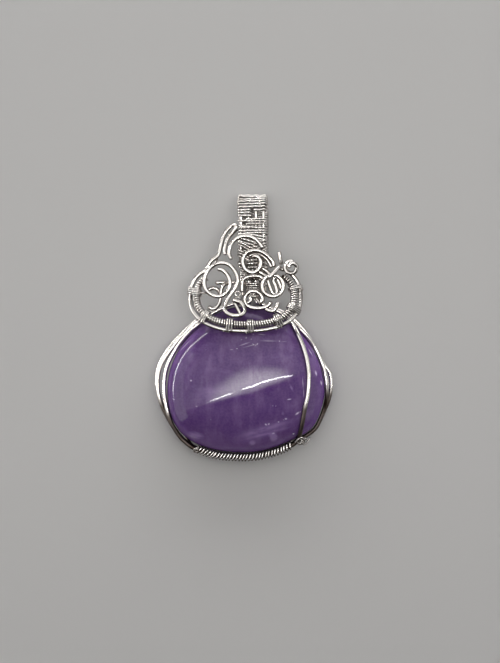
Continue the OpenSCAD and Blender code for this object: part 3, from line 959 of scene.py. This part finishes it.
@dataclass
class Frame:
    """The four plain wires round the stone's edge, and the fine wire that holds them together."""

    stone: Stone
    pitch: float = GAUGE.frame + 0.06
    spacing: float = 0.35
    # The neck's left and right wires, the heights that they pass, and the stretch that is wound
    neck_x: Pair = (1.1, 2.5)
    neck_y: Row = (9.4, 6.9, 5.0)
    neck_wrap_y: Pair = (5.9, 9.2)
    neck_pitch: float = 0.4
    # The turns round the stone between which the wires are wound under it
    bottom_turns: Pair = (229, 311)
    bottom_pitch: float = 0.65
    bottom_corner: float = 0.32
    # How far the winding's turns under the stone reach over its edge in front
    bottom_lap: float = 0.3
    wrap_margin: float = 0.2
    # How far each wire stands off the stone's edge: turn, front, middle, back, rear
    fit: Sequence[Row] = (
        (97, 0.75, 0.75, 0.75, 0.75), (113, 0.4, 0.75, 0.85, 0.6), (125, 0.15, 0.75, 1.0, 0.45),
        (135, 0.25, 0.85, 1.2, 0.2), (150, 0.48, 1.3, 1.8, -1.0), (164, 0.7, 2.0, 2.4, -2.4),
        (176, 0.58, 1.95, 2.15, -3.1), (188, 0.35, 1.4, 1.4, -3.1), (202, 0.33, 0.6, 0.65, -2.2),
        (214, 0.65, 0.7, 0.7, -0.8), (222, 0.88, 0.9, 0.9, 0.6), (229, 1.0, 1.0, 1.0, 1.0),
        (245, 1.0, 1.0, 1.0, 1.0), (262, 0.95, 0.95, 0.95, 0.95), (280, 0.95, 0.95, 0.95, 0.95),
        (298, 0.95, 0.95, 0.95, 0.95), (311, 0.93, 0.93, 0.93, 0.93), (317, 0.3, 0.65, 0.65, 0.5),
        (319.5, -0.3, 0.55, 0.6, 0.05), (322, -0.9, 0.55, 0.6, -0.4), (328, -2.1, 0.55, 0.6, -1.6),
        (334, -2.9, 0.55, 0.6, -2.4), (346, -3.5, 0.55, 0.8, -2.95), (355, -3.58, 0.42, 1.1, -3.1),
        (364, -3.45, 0.36, 1.4, -3.15), (371, -3.15, 0.36, 1.4, -2.95), (378, -2.75, 0.4, 0.75, -2.6),
        (392, -1.9, 0.42, 0.6, -1.8), (408, -0.65, 0.36, 0.88, -0.4), (421, 0.5, 0.55, 1.05, 0.6),
        (438, 0.75, 0.75, 0.75, 0.75),
    )

    @property
    def over(self) -> float:
        """How far the fine wire lies from the frame wires that it touches, middle to middle."""
        return (GAUGE.frame + GAUGE.fine) / 2 + GAUGE.play

    @property
    def top(self) -> float:
        """How far the fine wire lies in front of the middle of the four frame wires."""
        return Layer.FRONT.lift * self.pitch + self.over

    def row(self, row: Row, column: int, lift: float) -> Point:
        """Where a wire passes at a row of the fit table."""
        stone, turn, off = self.stone, row[0], row[column]
        if lift > 0:
            z = max(lift, stone.seat(turn, off, stone.face_bulge, stone.full_face))
        else:
            z = min(lift, -stone.seat(turn, off, stone.back_bulge, stone.full_back))
        return spot(stone.centre, turn, stone.outline(turn) + off, stone.girdle_z + z)

    def path(self, layer: Layer) -> list[Vector]:
        """A wire's middle line, from the neck round the stone and back to the neck."""
        lift = layer.lift * self.pitch
        z = self.stone.girdle_z + lift
        left, right = self.neck_x
        rows = [(left, y, z) for y in self.neck_y]
        rows += [self.row(row, layer.column, lift) for row in self.fit]
        rows += [(right, y, z) for y in reversed(self.neck_y)]
        return smooth_path(rows, self.spacing)

    def bottom_course(self) -> Course:
        """The line that the fine wire under the stone is wound on."""
        first, last = self.bottom_turns
        rows = [self.row(row, Layer.MIDDLE.column, 0) for row in self.fit if first <= row[0] <= last]
        return Course(smooth_path(rows, self.spacing))

    def bottom_wrap(self) -> Wire:
        """The fine wire wound round the four wires under the stone."""
        course = self.bottom_course()
        turn = [
            (side + self.bottom_lap * max(0.0, out / self.top) ** 2 * (side > 0), out)
            for side, out in hoop(self.over, self.top, self.bottom_corner, steps=36)
        ]
        return winding(course, turn, GAUGE.fine, self.wrap_margin, self.bottom_pitch,
                       lean=0.45, loose=0.06, seed=5)

    def neck_wrap(self) -> Wire:
        """The fine wire wound round them above the stone."""
        left, right = self.neck_x
        course = Course([Vector(((left + right) / 2, y, self.stone.girdle_z)) for y in self.neck_wrap_y])
        turn = hoop((right - left) / 2 + self.over, self.top, self.over, steps=48)
        return winding(course, turn, GAUGE.fine, self.wrap_margin, self.neck_pitch,
                       lean=0.02, loose=0.02, seed=9)

    def build(self) -> Iterator[Piece]:
        """Bends the wires and winds the fine wire on them."""
        for layer in Layer:
            node = f"frame_wire_{layer.name.lower()}"
            silver = Silver.FRONT if layer is Layer.FRONT else Silver.FRAME
            wire = Wire(self.path(layer), GAUGE.frame)
            yield drawn(node + "_bent", [wire], silver, [node], Roundness.PLAIN)
        yield drawn("bottom_wrap_wound", [self.bottom_wrap()], Silver.LESS_SHADED, ["bottom_wrap"])
        yield drawn("neck_wrap_wound", [self.neck_wrap()], Silver.FINE, ["neck_wrap"])


@dataclass
class Ring:
    """The oval in front of the stone's top: a plain outer wire, a coil inside it and their bindings."""

    half_w: float = 10.9
    half_h: float = 6.8
    centre: Pair = (0.3, 6.0)
    fullness: float = 2.4
    # Its height at its sides and at its lowest part, and the share of its half height where it rises
    side_z: float = 7.7
    front_z: float = 10.75
    rise_from: float = 0.15
    spacing: float = 0.3
    coil_d: float = 1.6
    coil_pitch: float = 0.49
    coil_margin: float = 0.25
    # The turns between which the coil and the outer wire follow the oval
    coil_turns: Pair = (153, 390)
    outer_turns: Pair = (146, 396)
    # How many degrees of the oval to each side of a binding make up its course
    binding_spread: int = 9
    # The outer wire's bends before the oval and after it
    lead: Bends = (
        (-2.3, 20.15, 7.0), (-3.2, 19.35, 7.0), (-4.1, 17.9, 7.1), (-4.6, 15.9, 7.3),
        (-5.1, 14.2, 7.5), (-6.5, 13.0, 7.7),
    )
    tail: Bends = ((8.0, 11.3, 7.7), (6.9, 11.7, 7.5))
    # The bindings: CAD node, turn, length along the oval, turns of wire
    bindings: Sequence[tuple[str, float, float, int]] = (
        ("binding_left", 175, 1.7, 4),
        ("binding_lower_left", 209, 1.4, 3),
        ("binding_bottom_left", 243, 1.6, 3),
        ("binding_bottom", 277, 1.4, 3),
        ("binding_lower_right", 318, 1.5, 3),
        ("binding_right_lower", 344, 1.5, 4),
        ("binding_right", 370, 1.2, 3),
    )

    @property
    def coil_inset(self) -> float:
        """How far the coil's middle line lies inside the outer wire's."""
        return GAUGE.frame / 2 + self.coil_d / 2 + GAUGE.gap

    def point(self, turn: float, inset: float) -> Point:
        """The oval's point at a turn in degrees, at an inset from the outer wire."""
        c, s = math.cos(math.radians(turn)), math.sin(math.radians(turn))
        reach = swell(abs(c) / (self.half_w - inset), abs(s) / (self.half_h - inset), self.fullness)
        low = max(0.0, (self.rise_from - s) / (self.rise_from + 1))
        z = self.side_z + (self.front_z - self.side_z) * low * (2 - low)
        return spot(self.centre, turn, reach, z)

    def stretch(self, turns: Pair, step: float, inset: float) -> list[Point]:
        """The oval's points from one turn to another."""
        first, last = turns
        count = round((last - first) / step)
        return [self.point(first + (last - first) * k / count, inset) for k in range(count + 1)]

    def coil(self, core: Course) -> Wire:
        """The wire wound close round the core."""
        circle = arc((0, 0, 0), (self.coil_d - GAUGE.coil) / 2, 0, 2 * math.pi, bits=18)
        turn = [tuple(point.xy) for point in circle[:-1]]
        return winding(core, turn, GAUGE.coil, self.coil_margin, self.coil_pitch,
                       lean=0.02, loose=0.015, seed=3)

    def binding(self, turn: float, length: float, turns: int, seed: int) -> Wire:
        """The fine wire bound round both wires of the oval at a turn."""
        spread = self.binding_spread
        course = Course([Vector(self.point(turn + d, 0)) for d in range(-spread, spread + 1)])
        gap = (Vector(self.point(turn, self.coil_inset)) - Vector(self.point(turn, 0))).length
        over = GAUGE.binding / 2 + GAUGE.play
        loop = belt(gap, GAUGE.frame / 2 + over, self.coil_d / 2 + over, steps=30)
        return winding(course, loop, GAUGE.binding, (course.length - length) / 2, length / turns,
                       lean=0.03, loose=0.04, seed=seed)

    def build(self) -> Iterator[Piece]:
        """Bends the outer wire, winds the coil and binds them together."""
        rows = [*self.lead, *self.stretch(self.outer_turns, step=10, inset=0), *self.tail]
        outer = Wire(smooth_path(rows, self.spacing), GAUGE.frame)
        yield drawn("ring_outer_wire_bent", [outer], Silver.PLAIN, ["ring_outer_wire"], Roundness.PLAIN)
        inner = self.stretch(self.coil_turns, step=4, inset=self.coil_inset)
        core = Course(smooth_path(inner, self.spacing))
        yield drawn("ring_coil_wound", [self.coil(core)], Silver.COILED, ["ring_coil"])
        # The core under the coil, in near-black painted shade.
        yield drawn("ring_coil_core", [Wire(core.points, GAUGE.frame)], Silver.SHADED)
        for seed, (node, turn, length, turns) in enumerate(self.bindings):
            yield drawn(node + "_wound", [self.binding(turn, length, turns, seed)], Silver.COILED, [node])


@dataclass
class Scrolls:
    """The loose curls of plain wire inside and above the oval, each a table of bends."""

    spacing: float = 0.16
    basket_centre: Point = (5.7, 8.1, 8.65)
    basket_r: float = 2.1
    basket_turns: Pair = (-250, 90)
    tables: dict[str, Bends] = field(default_factory=lambda: {
        "scroll_left": (
            (-5.2, 11.4, 8.9), (-4.1, 11.1, 8.9), (-3.1, 10.0, 8.9), (-2.7, 8.6, 8.9), (-3.0, 7.4, 8.9),
            (-3.9, 6.4, 8.9), (-5.1, 6.0, 8.9), (-6.5, 6.4, 8.9), (-7.5, 7.5, 8.9), (-7.8, 8.9, 8.9),
            (-7.4, 10.6, 8.9), (-6.2, 12.0, 8.9), (-4.6, 12.6, 8.9), (-2.9, 12.2, 8.9), (-1.7, 10.9, 8.9),
            (-1.2, 9.3, 8.9), (-1.6, 7.9, 8.9), (-2.4, 6.7, 9.0), (-3.2, 5.5, 9.2), (-3.7, 4.3, 9.5),
            (-3.7, 3.3, 9.9), (-3.1, 2.6, 10.1), (-2.1, 2.25, 10.2), (-0.9, 2.3, 10.1), (0.0, 2.8, 9.8),
            (0.1, 3.7, 9.4), (-0.5, 4.7, 9.1), (-1.4, 5.1, 9.0), (-2.3, 5.2, 9.0)),
        "scroll_upper": (
            (6.0, 11.8, 8.2), (5.7, 12.8, 8.3), (4.8, 13.9, 8.4), (3.5, 14.8, 8.4), (2.0, 15.1, 8.4),
            (0.7, 14.7, 8.4), (-0.1, 13.7, 8.4), (-0.2, 12.5, 8.4), (0.4, 11.3, 8.4), (1.4, 10.7, 8.4),
            (2.4, 10.9, 8.4), (3.2, 11.9, 8.4), (3.3, 13.1, 8.4), (2.6, 13.9, 8.4), (1.6, 13.9, 8.4)),
        "scroll_centre": (
            (3.1, 4.7, 7.6), (3.7, 5.5, 7.6), (3.3, 6.4, 7.6), (2.4, 7.0, 7.6), (1.3, 7.0, 7.6),
            (0.4, 6.3, 7.6), (0.1, 5.3, 7.6), (0.6, 4.3, 7.6), (1.7, 3.8, 7.6), (3.2, 3.7, 7.6),
            (4.6, 4.1, 7.6), (5.5, 5.0, 7.6)),
        "basket_fold": (
            (4.6, 9.5, 7.85), (5.0, 8.3, 7.85), (5.5, 7.0, 7.85), (6.1, 6.4, 7.85), (6.5, 7.0, 7.85),
            (6.2, 8.3, 7.85), (5.8, 9.2, 7.85), (6.2, 9.7, 7.85), (6.7, 9.4, 7.85), (7.1, 8.5, 7.85),
            (7.5, 7.3, 7.85)),
        "scroll_right": (
            (9.0, 11.5, 9.5), (8.9, 12.2, 9.5), (9.7, 12.5, 9.45), (10.4, 11.8, 9.25), (9.9, 10.7, 9.0),
            (8.7, 10.7, 8.8), (8.1, 11.7, 8.65), (8.6, 12.8, 8.6), (9.8, 13.0, 8.55)),
        "arch_top": (
            (-2.4, 13.3, 8.7), (-2.9, 14.3, 8.6), (-2.8, 15.5, 8.6), (-2.2, 16.8, 8.5), (-1.1, 17.6, 8.5),
            (0.4, 17.9, 8.5), (1.9, 17.5, 8.5), (3.0, 16.6, 8.5), (3.8, 15.5, 8.5)),
        "arch_inner": (
            (-2.3, 20.15, 7.0), (-1.8, 20.3, 7.35), (-1.5, 19.85, 7.6), (-1.7, 19.2, 7.5),
            (-2.2, 18.7, 7.3), (-2.75, 18.15, 7.3), (-3.2, 17.4, 7.4), (-3.6, 16.4, 7.5),
            (-3.8, 15.2, 7.6), (-3.6, 14.2, 7.7)),
        "neck_hoop": (
            (3.9, 9.4, 7.3), (3.1, 10.0, 7.3), (2.0, 10.1, 7.3), (0.7, 9.9, 7.3), (-0.2, 9.2, 7.2),
            (-0.4, 8.0, 7.2), (-0.4, 6.9, 7.2)),
        "under_wire": (
            (-7.1, 4.0, 7.6), (-6.2, 3.6, 7.6), (-5.3, 4.0, 7.7), (-4.7, 5.1, 7.9), (-4.6, 6.6, 8.0),
            (-4.2, 8.0, 8.0), (-3.2, 8.7, 7.6), (-1.6, 8.8, 7.3)),
        "corner_wire": (
            (4.2, 3.6, 8.4), (5.0, 3.2, 8.5), (5.8, 3.2, 8.6), (6.4, 3.9, 8.5), (6.8, 5.0, 8.4)),
        "cross_wire": ((4.8, 9.6, 9.6), (6.0, 10.8, 9.4), (7.1, 12.0, 8.8)),
        "tuck_wire": (
            (2.7, 11.1, 7.2), (3.6, 10.6, 7.2), (4.5, 10.1, 7.3), (5.1, 10.4, 7.3), (4.6, 11.0, 7.2),
            (3.5, 11.7, 7.2)),
        "upright_end": ((7.45, 12.35, 8.0), (7.15, 13.4, 8.2), (6.95, 14.9, 8.3)),
    })

    def basket(self) -> list[Vector]:
        """The closed wire of the basket."""
        first, last = (math.radians(turn) for turn in self.basket_turns)
        return arc(self.basket_centre, self.basket_r, first, last, bits=68)

    def build(self) -> Iterator[Piece]:
        """Bends every scroll."""
        paths = {node: smooth_path(rows, self.spacing) for node, rows in self.tables.items()}
        paths["scroll_basket"] = self.basket()
        for node, path in paths.items():
            yield drawn(node + "_bent", [Wire(path, GAUGE.scroll)], Silver.PLAIN, [node], Roundness.PLAIN)


@dataclass
class LooseEnds:
    """The ends of the wires that show between the scrolls and at the fine wire's two ends."""

    spacing: float = 0.12
    plain_bends: dict[str, Bends] = field(default_factory=lambda: {
        "behind_left": ((-5.7, 8.7, 7.5), (-4.6, 8.8, 7.5), (-3.2, 8.75, 7.5)),
        "loop_behind_left": (
            (-4.7, 6.2, 7.3), (-4.9, 7.0, 7.3), (-5.6, 7.6, 7.3), (-6.5, 7.6, 7.3), (-7.3, 7.1, 7.3)),
        "behind_small_loop": ((-2.0, 5.3, 8.4), (-1.5, 4.2, 8.6), (-0.9, 3.0, 8.8), (-0.5, 1.9, 8.9)),
        "beside_upper": (
            (0.9, 14.0, 7.7), (2.1, 14.5, 7.7), (3.2, 14.35, 7.7), (4.3, 13.6, 7.7), (5.1, 12.6, 7.7),
            (5.5, 11.7, 7.7)),
        "stub_in_centre": ((2.4, 5.9, 6.6), (2.9, 5.1, 6.9), (3.4, 4.4, 7.0)),
    })
    fine_bends: dict[str, Bends] = field(default_factory=lambda: {
        "crossing": ((-5.2, 13.4, 8.4), (-5.5, 12.9, 9.2), (-5.8, 12.3, 9.5), (-6.0, 11.6, 9.0)),
        "curl_by_neck": (
            (-1.9, 5.6, 7.9), (-1.2, 5.9, 7.8), (-0.7, 6.5, 7.6), (-1.0, 7.0, 7.5), (-1.6, 6.9, 7.5),
            (-1.7, 6.3, 7.5), (-1.1, 5.9, 7.4), (-0.5, 5.5, 7.3)),
        "binding_tail": ((-8.6, 6.75, 8.8), (-7.9, 6.65, 8.9), (-7.3, 6.7, 8.5)),
        "bottom_start": (
            (-9.0, -24.2, 6.4), (-9.6, -24.1, 6.5), (-9.9, -24.5, 6.3), (-9.5, -24.9, 6.1),
            (-9.1, -24.6, 6.3), (-9.3, -24.2, 6.9)),
        "bottom_tangle": (
            (10.2, -23.0, 6.3), (10.9, -22.2, 6.7), (11.6, -22.6, 6.9), (11.0, -23.2, 6.8),
            (10.5, -22.6, 7.2), (11.3, -21.9, 7.4), (12.0, -22.4, 7.2), (11.5, -23.2, 6.7),
            (10.8, -23.4, 6.2)),
        "bottom_tail": ((11.2, -22.9, 6.9), (11.9, -23.3, 6.6), (12.5, -23.0, 6.2), (13.2, -22.1, 5.8)),
        "bottom_second_tail": ((11.6, -22.0, 6.6), (12.2, -22.1, 6.9), (12.8, -22.5, 6.6)),
    })

    def build(self) -> Iterator[Piece]:
        """Bends them all."""
        for silver, thickness, bends in (
            (Silver.PLAIN, GAUGE.scroll, self.plain_bends),
            (Silver.FINE, GAUGE.fine, self.fine_bends),
        ):
            for name, rows in bends.items():
                wire = Wire(smooth_path(rows, self.spacing), thickness)
                yield drawn(name + "_end", [wire], silver, (), Roundness.END)


@dataclass
class Bail:
    """The folded band: four base wires with fine wire woven round them."""

    thickness: float = 1.5
    fold_r: float = 3.35
    fold_y: float = 22.6
    fold_bits: int = 30
    front_bends: Bends = ((0, 9.3, 4.9), (0, 11.0, 5.5), (0, 14.6, 6.95), (0, 18.5, 7.2))
    rear_bend_y: float = 12
    foot: Point = (0, 6.3, 1.05)
    spacing: float = 0.3
    base_spacing: float = 0.35
    middle_x: float = 1.82
    # Where the base wires lie across the band
    spread: Row = (-2.42, -0.9, 0.55, 2.05)
    # The rear leg lies to the right of the front one: length where that starts and is full, by how much
    rear_shift: tuple[float, float, float] = (17.0, 24.0, 0.4)
    # The band narrows towards the neck: length along it, share of the full spread
    taper: tuple[Pair, ...] = ((0.0, 0.42), (4.2, 1.0))
    # How unevenly the strands lie: the slip of a turn, and the wave along and away from the band
    slip: float = 0.13
    wave_along: float = 0.045
    wave_out: float = 0.04
    margin: float = 0.05
    # Where a strand lies between two base wires, as a share of where it lies over them
    dip: float = 0.72
    cap_bits: int = 6
    # Windings: first and last base wire, start and stop along the band, turns, lean
    windings: Sequence[Strand] = (
        (0, 3, 0.5, 2.6, 4, 0.0), (0, 3, 2.8, 4.2, 2, 0.10), (1, 3, 4.2, 5.6, 2, 0.24),
        (0, 1, 4.6, 6.2, 3, -0.35), (2, 3, 5.5, 8.3, 5, 0.38), (0, 2, 6.3, 7.3, 2, -0.42),
        (1, 2, 7.0, 8.3, 2, -0.30), (0, 1, 7.6, 8.8, 2, -0.25), (1, 3, 8.5, 9.5, 2, -0.16),
        (1, 3, 9.6, 10.6, 2, 0.06), (0, 1, 9.3, 11.2, 3, 0.12), (0, 3, 10.7, 11.2, 1, -0.05),
        (1, 3, 11.4, 12.8, 3, 0.05), (0, 1, 13.0, 14.4, 3, 0.06), (0, 3, 12.0, 12.4, 1, 0.02),
        (2, 3, 14.0, 14.5, 1, 0.05), (0, 3, 14.6, 16.9, 4, 0.07), (0, 3, 17.1, 22.4, 9, -0.04),
        (0, 3, 22.8, 38.6, 28, 0.0),
    )

    def course(self) -> Course:
        """The band's middle line, from the neck over the fold to the rear foot."""
        half, r = self.thickness / 2, self.fold_r
        turns = [math.pi * k / self.fold_bits for k in range(1, self.fold_bits)]
        fold = [Vector((0, self.fold_y + r * math.sin(t), half + r + r * math.cos(t))) for t in turns]
        front = smooth_path([*self.front_bends, (0, self.fold_y, half + 2 * r)], self.spacing)
        rear = smooth_path([(0, self.fold_y, half), (0, self.rear_bend_y, half), self.foot], self.spacing)
        return Course([*front, *fold, *rear], ACROSS)

    def squeeze(self, s: float) -> float:
        """The share of the full spread that the base wires have at length s."""
        (start, narrow), (stop, wide) = self.taper
        share = between((s - start) / (stop - start), 0, 1)
        return narrow + (wide - narrow) * share * share * (3 - 2 * share)

    def side(self, wire: float, s: float) -> float:
        """How far across a base wire lies at length s. A fraction is a place between two of them."""
        i = min(int(wire), len(self.spread) - 2)
        place = self.spread[i] + (self.spread[i + 1] - self.spread[i]) * (wire - i)
        start, stop, shift = self.rear_shift
        share = between((s - start) / (stop - start), 0, 1)
        return self.middle_x + place * self.squeeze(s) + shift * share

    def turn(self, first: int, last: int) -> list[Point]:
        """One turn round some base wires: a wire's number, and how far from it sideways and outwards."""
        caps = arc((0, 0, 0), 1, -math.pi / 2, math.pi / 2, self.cap_bits)
        front = [(last, cap.x, cap.y) for cap in caps]
        for k in range(last - first):
            front += [(last - 0.5 - k, 0.0, self.dip), (last - 1.0 - k, 0.0, 1.0)]
        front.pop()
        return front + [(first + last - wire, -sideways, -out) for wire, sideways, out in front]

    def wrap(self, course: Course, row: Strand, seed: int) -> Wire:
        """The strand of a row of the windings table."""
        first, last, start, stop, turns, lean = row
        turn = self.turn(first, last)
        steps = turns * len(turn)
        over = (GAUGE.weave_base + GAUGE.weave) / 2
        shaky = random.Random(seed)
        slips = [shaky.uniform(-self.slip, self.slip) for _ in range(turns + 2)]
        middle = self.side((first + last) / 2, start)
        rows = []
        for step in range(steps + 1):
            wire, sideways, out = turn[step % len(turn)]
            s = start + (stop - start) * step / steps + slipped(slips, step / len(turn))
            side = self.side(wire, s) + over * sideways
            wave = shaky.uniform(-1, 1)
            s = between(s + lean * (side - middle) + wave * self.wave_along, *course.within(self.margin))
            rows.append(course.at(s, side, over * (out + wave * self.wave_out)))
        return Wire(softened(rows), GAUGE.weave)

    def base_wire(self, course: Course, wire: int) -> Wire:
        """One of the four wires that the band is woven on."""
        steps = round(course.length / self.base_spacing)
        stops = [course.length * k / steps for k in range(steps + 1)]
        return Wire([course.at(s, self.side(wire, s)) for s in stops], GAUGE.weave_base)

    def build(self) -> Iterator[Piece]:
        """Bends the base wires and weaves the fine wire on them."""
        course = self.course()
        bases = [self.base_wire(course, wire) for wire in range(len(self.spread))]
        yield drawn("bail_base_wires", bases, Silver.PLAIN, ["bail"], Roundness.PLAIN)
        strands = [self.wrap(course, row, seed) for seed, row in enumerate(self.windings)]
        yield drawn("bail_weave", strands, Silver.WOVEN)


# The studio


@dataclass(frozen=True)
class Ribbon:
    """A ribbon light that stands round the pendant.

    Attributes:
        name: the light's name.
        radiance: how bright its face is.
        reach: how far away it stands.
        rows: where it runs: azimuth, elevation and width in degrees.
    """

    name: str
    radiance: float
    reach: float
    rows: Bends


def aim(azimuth: float, elevation: float) -> Vector:
    """The direction at an azimuth and an elevation in degrees."""
    turn, rise = math.radians(azimuth), math.radians(elevation)
    return Vector((math.cos(rise) * math.cos(turn), math.cos(rise) * math.sin(turn), math.sin(rise)))


@dataclass
class Studio:
    """The pale floor, the soft lights and the camera over the pendant."""

    camera_at: Point = (1.2, -0.9, 255.0)
    view_height: float = 132.6
    plane_z: float = 5.0
    sensor: float = 36.0
    clip: Pair = (10, 10000)
    floor_half: float = 3000
    lamps_z: float = 300.0
    # The two stretches of the line light: across, up, width
    line_lights: Sequence[Bends] = (
        ((-105, -58, 0.2), (-82, -49, 0.8), (-60, -40.5, 2.2), (-40, -34, 2.1), (-24, -29.8, 1.5),
         (-20, -28.8, 0.2)),
        ((-5, -25.1, 0.2), (-1, -23.8, 1.3), (6, -21.3, 1.6), (21, -14.1, 2.1), (46.5, -4.8, 2.6),
         (82, 6.3, 2.9), (112, 14.5, 2.7), (138, 20.9, 2.0), (150, 23.7, 0.2)),
    )
    line_radiance: float = 43
    box_size: Pair = (1500, 420)
    box_radiance: float = 1.08
    box_haze: float = 7.3
    box_bow: float = 4.4
    # How far the softbox's face reaches behind its bright edge, and how far over the line lights it hangs
    box_behind: float = 18
    box_above: float = 1
    # A thin light low on the left, and the wide dim glows that the wires' flanks reflect
    ribbons: Sequence[Ribbon] = (
        Ribbon("arc_light", 28, 300, (
            (118, 35, 0.4), (127, 29, 1.5), (142, 20, 2.2), (155, 8, 3.2), (168, 3, 3.6),
            (180, 2.4, 3.6), (189, 5, 2))),
        Ribbon("side_glow_0", 1.4, 330, ((148, 24, 38), (170, 22, 38), (190, 22, 38), (214, 22, 34))),
        Ribbon("side_glow_1", 0.7, 330, ((-34, 22, 34), (-10, 22, 38), (10, 22, 38), (32, 24, 38))),
    )
    round_centre: Point = (-12, -8, 7.5)
    window_at: Point = (0, 900, 260)
    window_aim: Point = (0, 0, 8)
    window_size: Pair = (1500, 420)
    window_radiance: float = 2.4
    room_near: Colour = (0.050, 0.045, 0.040, 1)
    room_far: Colour = (0.48, 0.48, 0.50, 1)

    def camera(self) -> None:
        """Sets the camera straight above, so that the image's long side takes in view_height."""
        data = bpy.data.cameras.new("camera")
        data.sensor_width = self.sensor
        data.lens = self.sensor * (self.camera_at[2] - self.plane_z) / self.view_height
        data.clip_start, data.clip_end = (distance * MM for distance in self.clip)
        camera = placed("camera", data)
        camera.location = Vector(self.camera_at) * MM
        bpy.context.scene.camera = camera

    def floor(self) -> None:
        """Lays the floor."""
        sheet = bmesh.new()
        bmesh.ops.create_grid(sheet, x_segments=1, y_segments=1, size=self.floor_half * MM)
        mesh = meshed("floor", sheet)
        mesh.materials.append(FloorFinish().material())
        floor = placed("floor", mesh)
        floor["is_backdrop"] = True

    def glowing(self, name: str, corners: Sequence[Sequence[float]], finish: GlowFinish) -> Piece:
        """Makes a light of a ribbon: corners two by two along it, left and right."""
        faces = [(k, k + 1, k + 3, k + 2) for k in range(0, len(corners) - 2, 2)]
        mesh = bpy.data.meshes.new(name)
        mesh.from_pydata([Vector(corner) * MM for corner in corners], [], faces)
        mesh.materials.append(finish.material())
        light = placed(name, mesh)
        light.visible_camera = False
        light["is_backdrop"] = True
        return light

    def line_light(self) -> None:
        """Hangs the thin line lights that the stone reflects as a streak."""
        for k, rows in enumerate(self.line_lights):
            line = [Vector((x, y, self.lamps_z)) for x, y, _ in rows]
            corners = []
            for i, (_, _, width) in enumerate(rows):
                along = line[min(len(rows) - 1, i + 1)] - line[max(0, i - 1)]
                side = UP.cross(along).normalized() * width / 2
                corners += [line[i] + side, line[i] - side]
            name = f"line_light_{k}"
            self.glowing(name, corners, GlowFinish(name, self.line_radiance))

    def round_light(self, ribbon: Ribbon) -> None:
        """Stands a ribbon light round the pendant, which only polished surfaces show."""
        corners = [
            Vector(self.round_centre) + aim(azimuth, elevation + above) * ribbon.reach
            for azimuth, elevation, width in ribbon.rows
            for above in (width / 2, -width / 2)
        ]
        light = self.glowing(ribbon.name, corners, GlowFinish(ribbon.name, ribbon.radiance))
        light.visible_diffuse = False

    def softbox(self) -> None:
        """Hangs the soft light beside the line: brightest along it, and fading to its other edges."""
        start, stop = Vector(self.line_lights[0][0][:2]), Vector(self.line_lights[-1][-1][:2])
        along = stop - start
        middle = (start + stop) / 2
        width, depth = self.box_size
        corners = [(x, y, 0) for x in (-width / 2, width / 2) for y in (-self.box_behind, depth)]
        size = (width * MM, depth * MM)
        finish = GlowFinish("softbox_face", self.box_radiance, self.box_haze, size, self.box_bow * MM)
        box = self.glowing("softbox", corners, finish)
        box.location = Vector((middle.x, middle.y, self.lamps_z + self.box_above)) * MM
        box.rotation_euler = (0, 0, math.atan2(along.y, along.x))

    def room(self) -> None:
        """Lights the room softly, from dark on the camera's near side to pale at the far side."""
        world = bpy.data.worlds.new("room")
        world.use_nodes = True
        world.node_tree.nodes.clear()
        bench = NodeBench(world)
        towards = bench.node("ShaderNodeTexCoord", output="Generated")
        share = (bench.axis(towards, "Y") * 0.75 + bench.axis(towards, "Z") * 0.65).ramp(0.1, 1.0)
        colour = bench.mix(share, self.room_near, self.room_far)
        light = bench.node("ShaderNodeBackground", {}, {"Color": colour}, "Background")
        bench.end("ShaderNodeOutputWorld", light)
        bpy.context.scene.world = world

    def window(self) -> None:
        """Hangs one flat light far off, beyond the pendant's top."""
        data = bpy.data.lights.new("far_window", "AREA")
        data.shape = "RECTANGLE"
        data.size, data.size_y = (side * MM for side in self.window_size)
        data.energy = self.window_radiance * math.pi * data.size * data.size_y
        lamp = placed("far_window", data)
        lamp.location = Vector(self.window_at) * MM
        towards = Vector(self.window_aim) - Vector(self.window_at)
        lamp.rotation_euler = towards.to_track_quat("-Z", "Y").to_euler()
        lamp.visible_camera = False

    def build(self) -> None:
        """Sets up the whole studio."""
        self.camera()
        self.floor()
        self.room()
        bpy.context.scene.view_settings.view_transform = "Standard"
        self.softbox()
        self.line_light()
        for ribbon in self.ribbons:
            self.round_light(ribbon)
        self.window()


def main() -> None:
    """Builds the pendant and the studio."""
    logging.basicConfig(level=logging.INFO, format="%(message)s")
    stone = Stone()
    stone.build()
    groups = (Frame(stone), Ring(), Scrolls(), LooseEnds(), Bail())
    pieces = [piece for group in groups for piece in group.build()]
    log.info("%d pieces of wire", len(pieces))
    Studio().build()


def write_sizes() -> None:
    """Works out the CAD box and the visual model's box, but keeps neither."""
    boxes = {"cad": CAD_BOX, "visual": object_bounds()}
    {name: [list(corner) for corner in box] for name, box in boxes.items()}


if __name__ == "__main__":
    main()
    write_sizes()
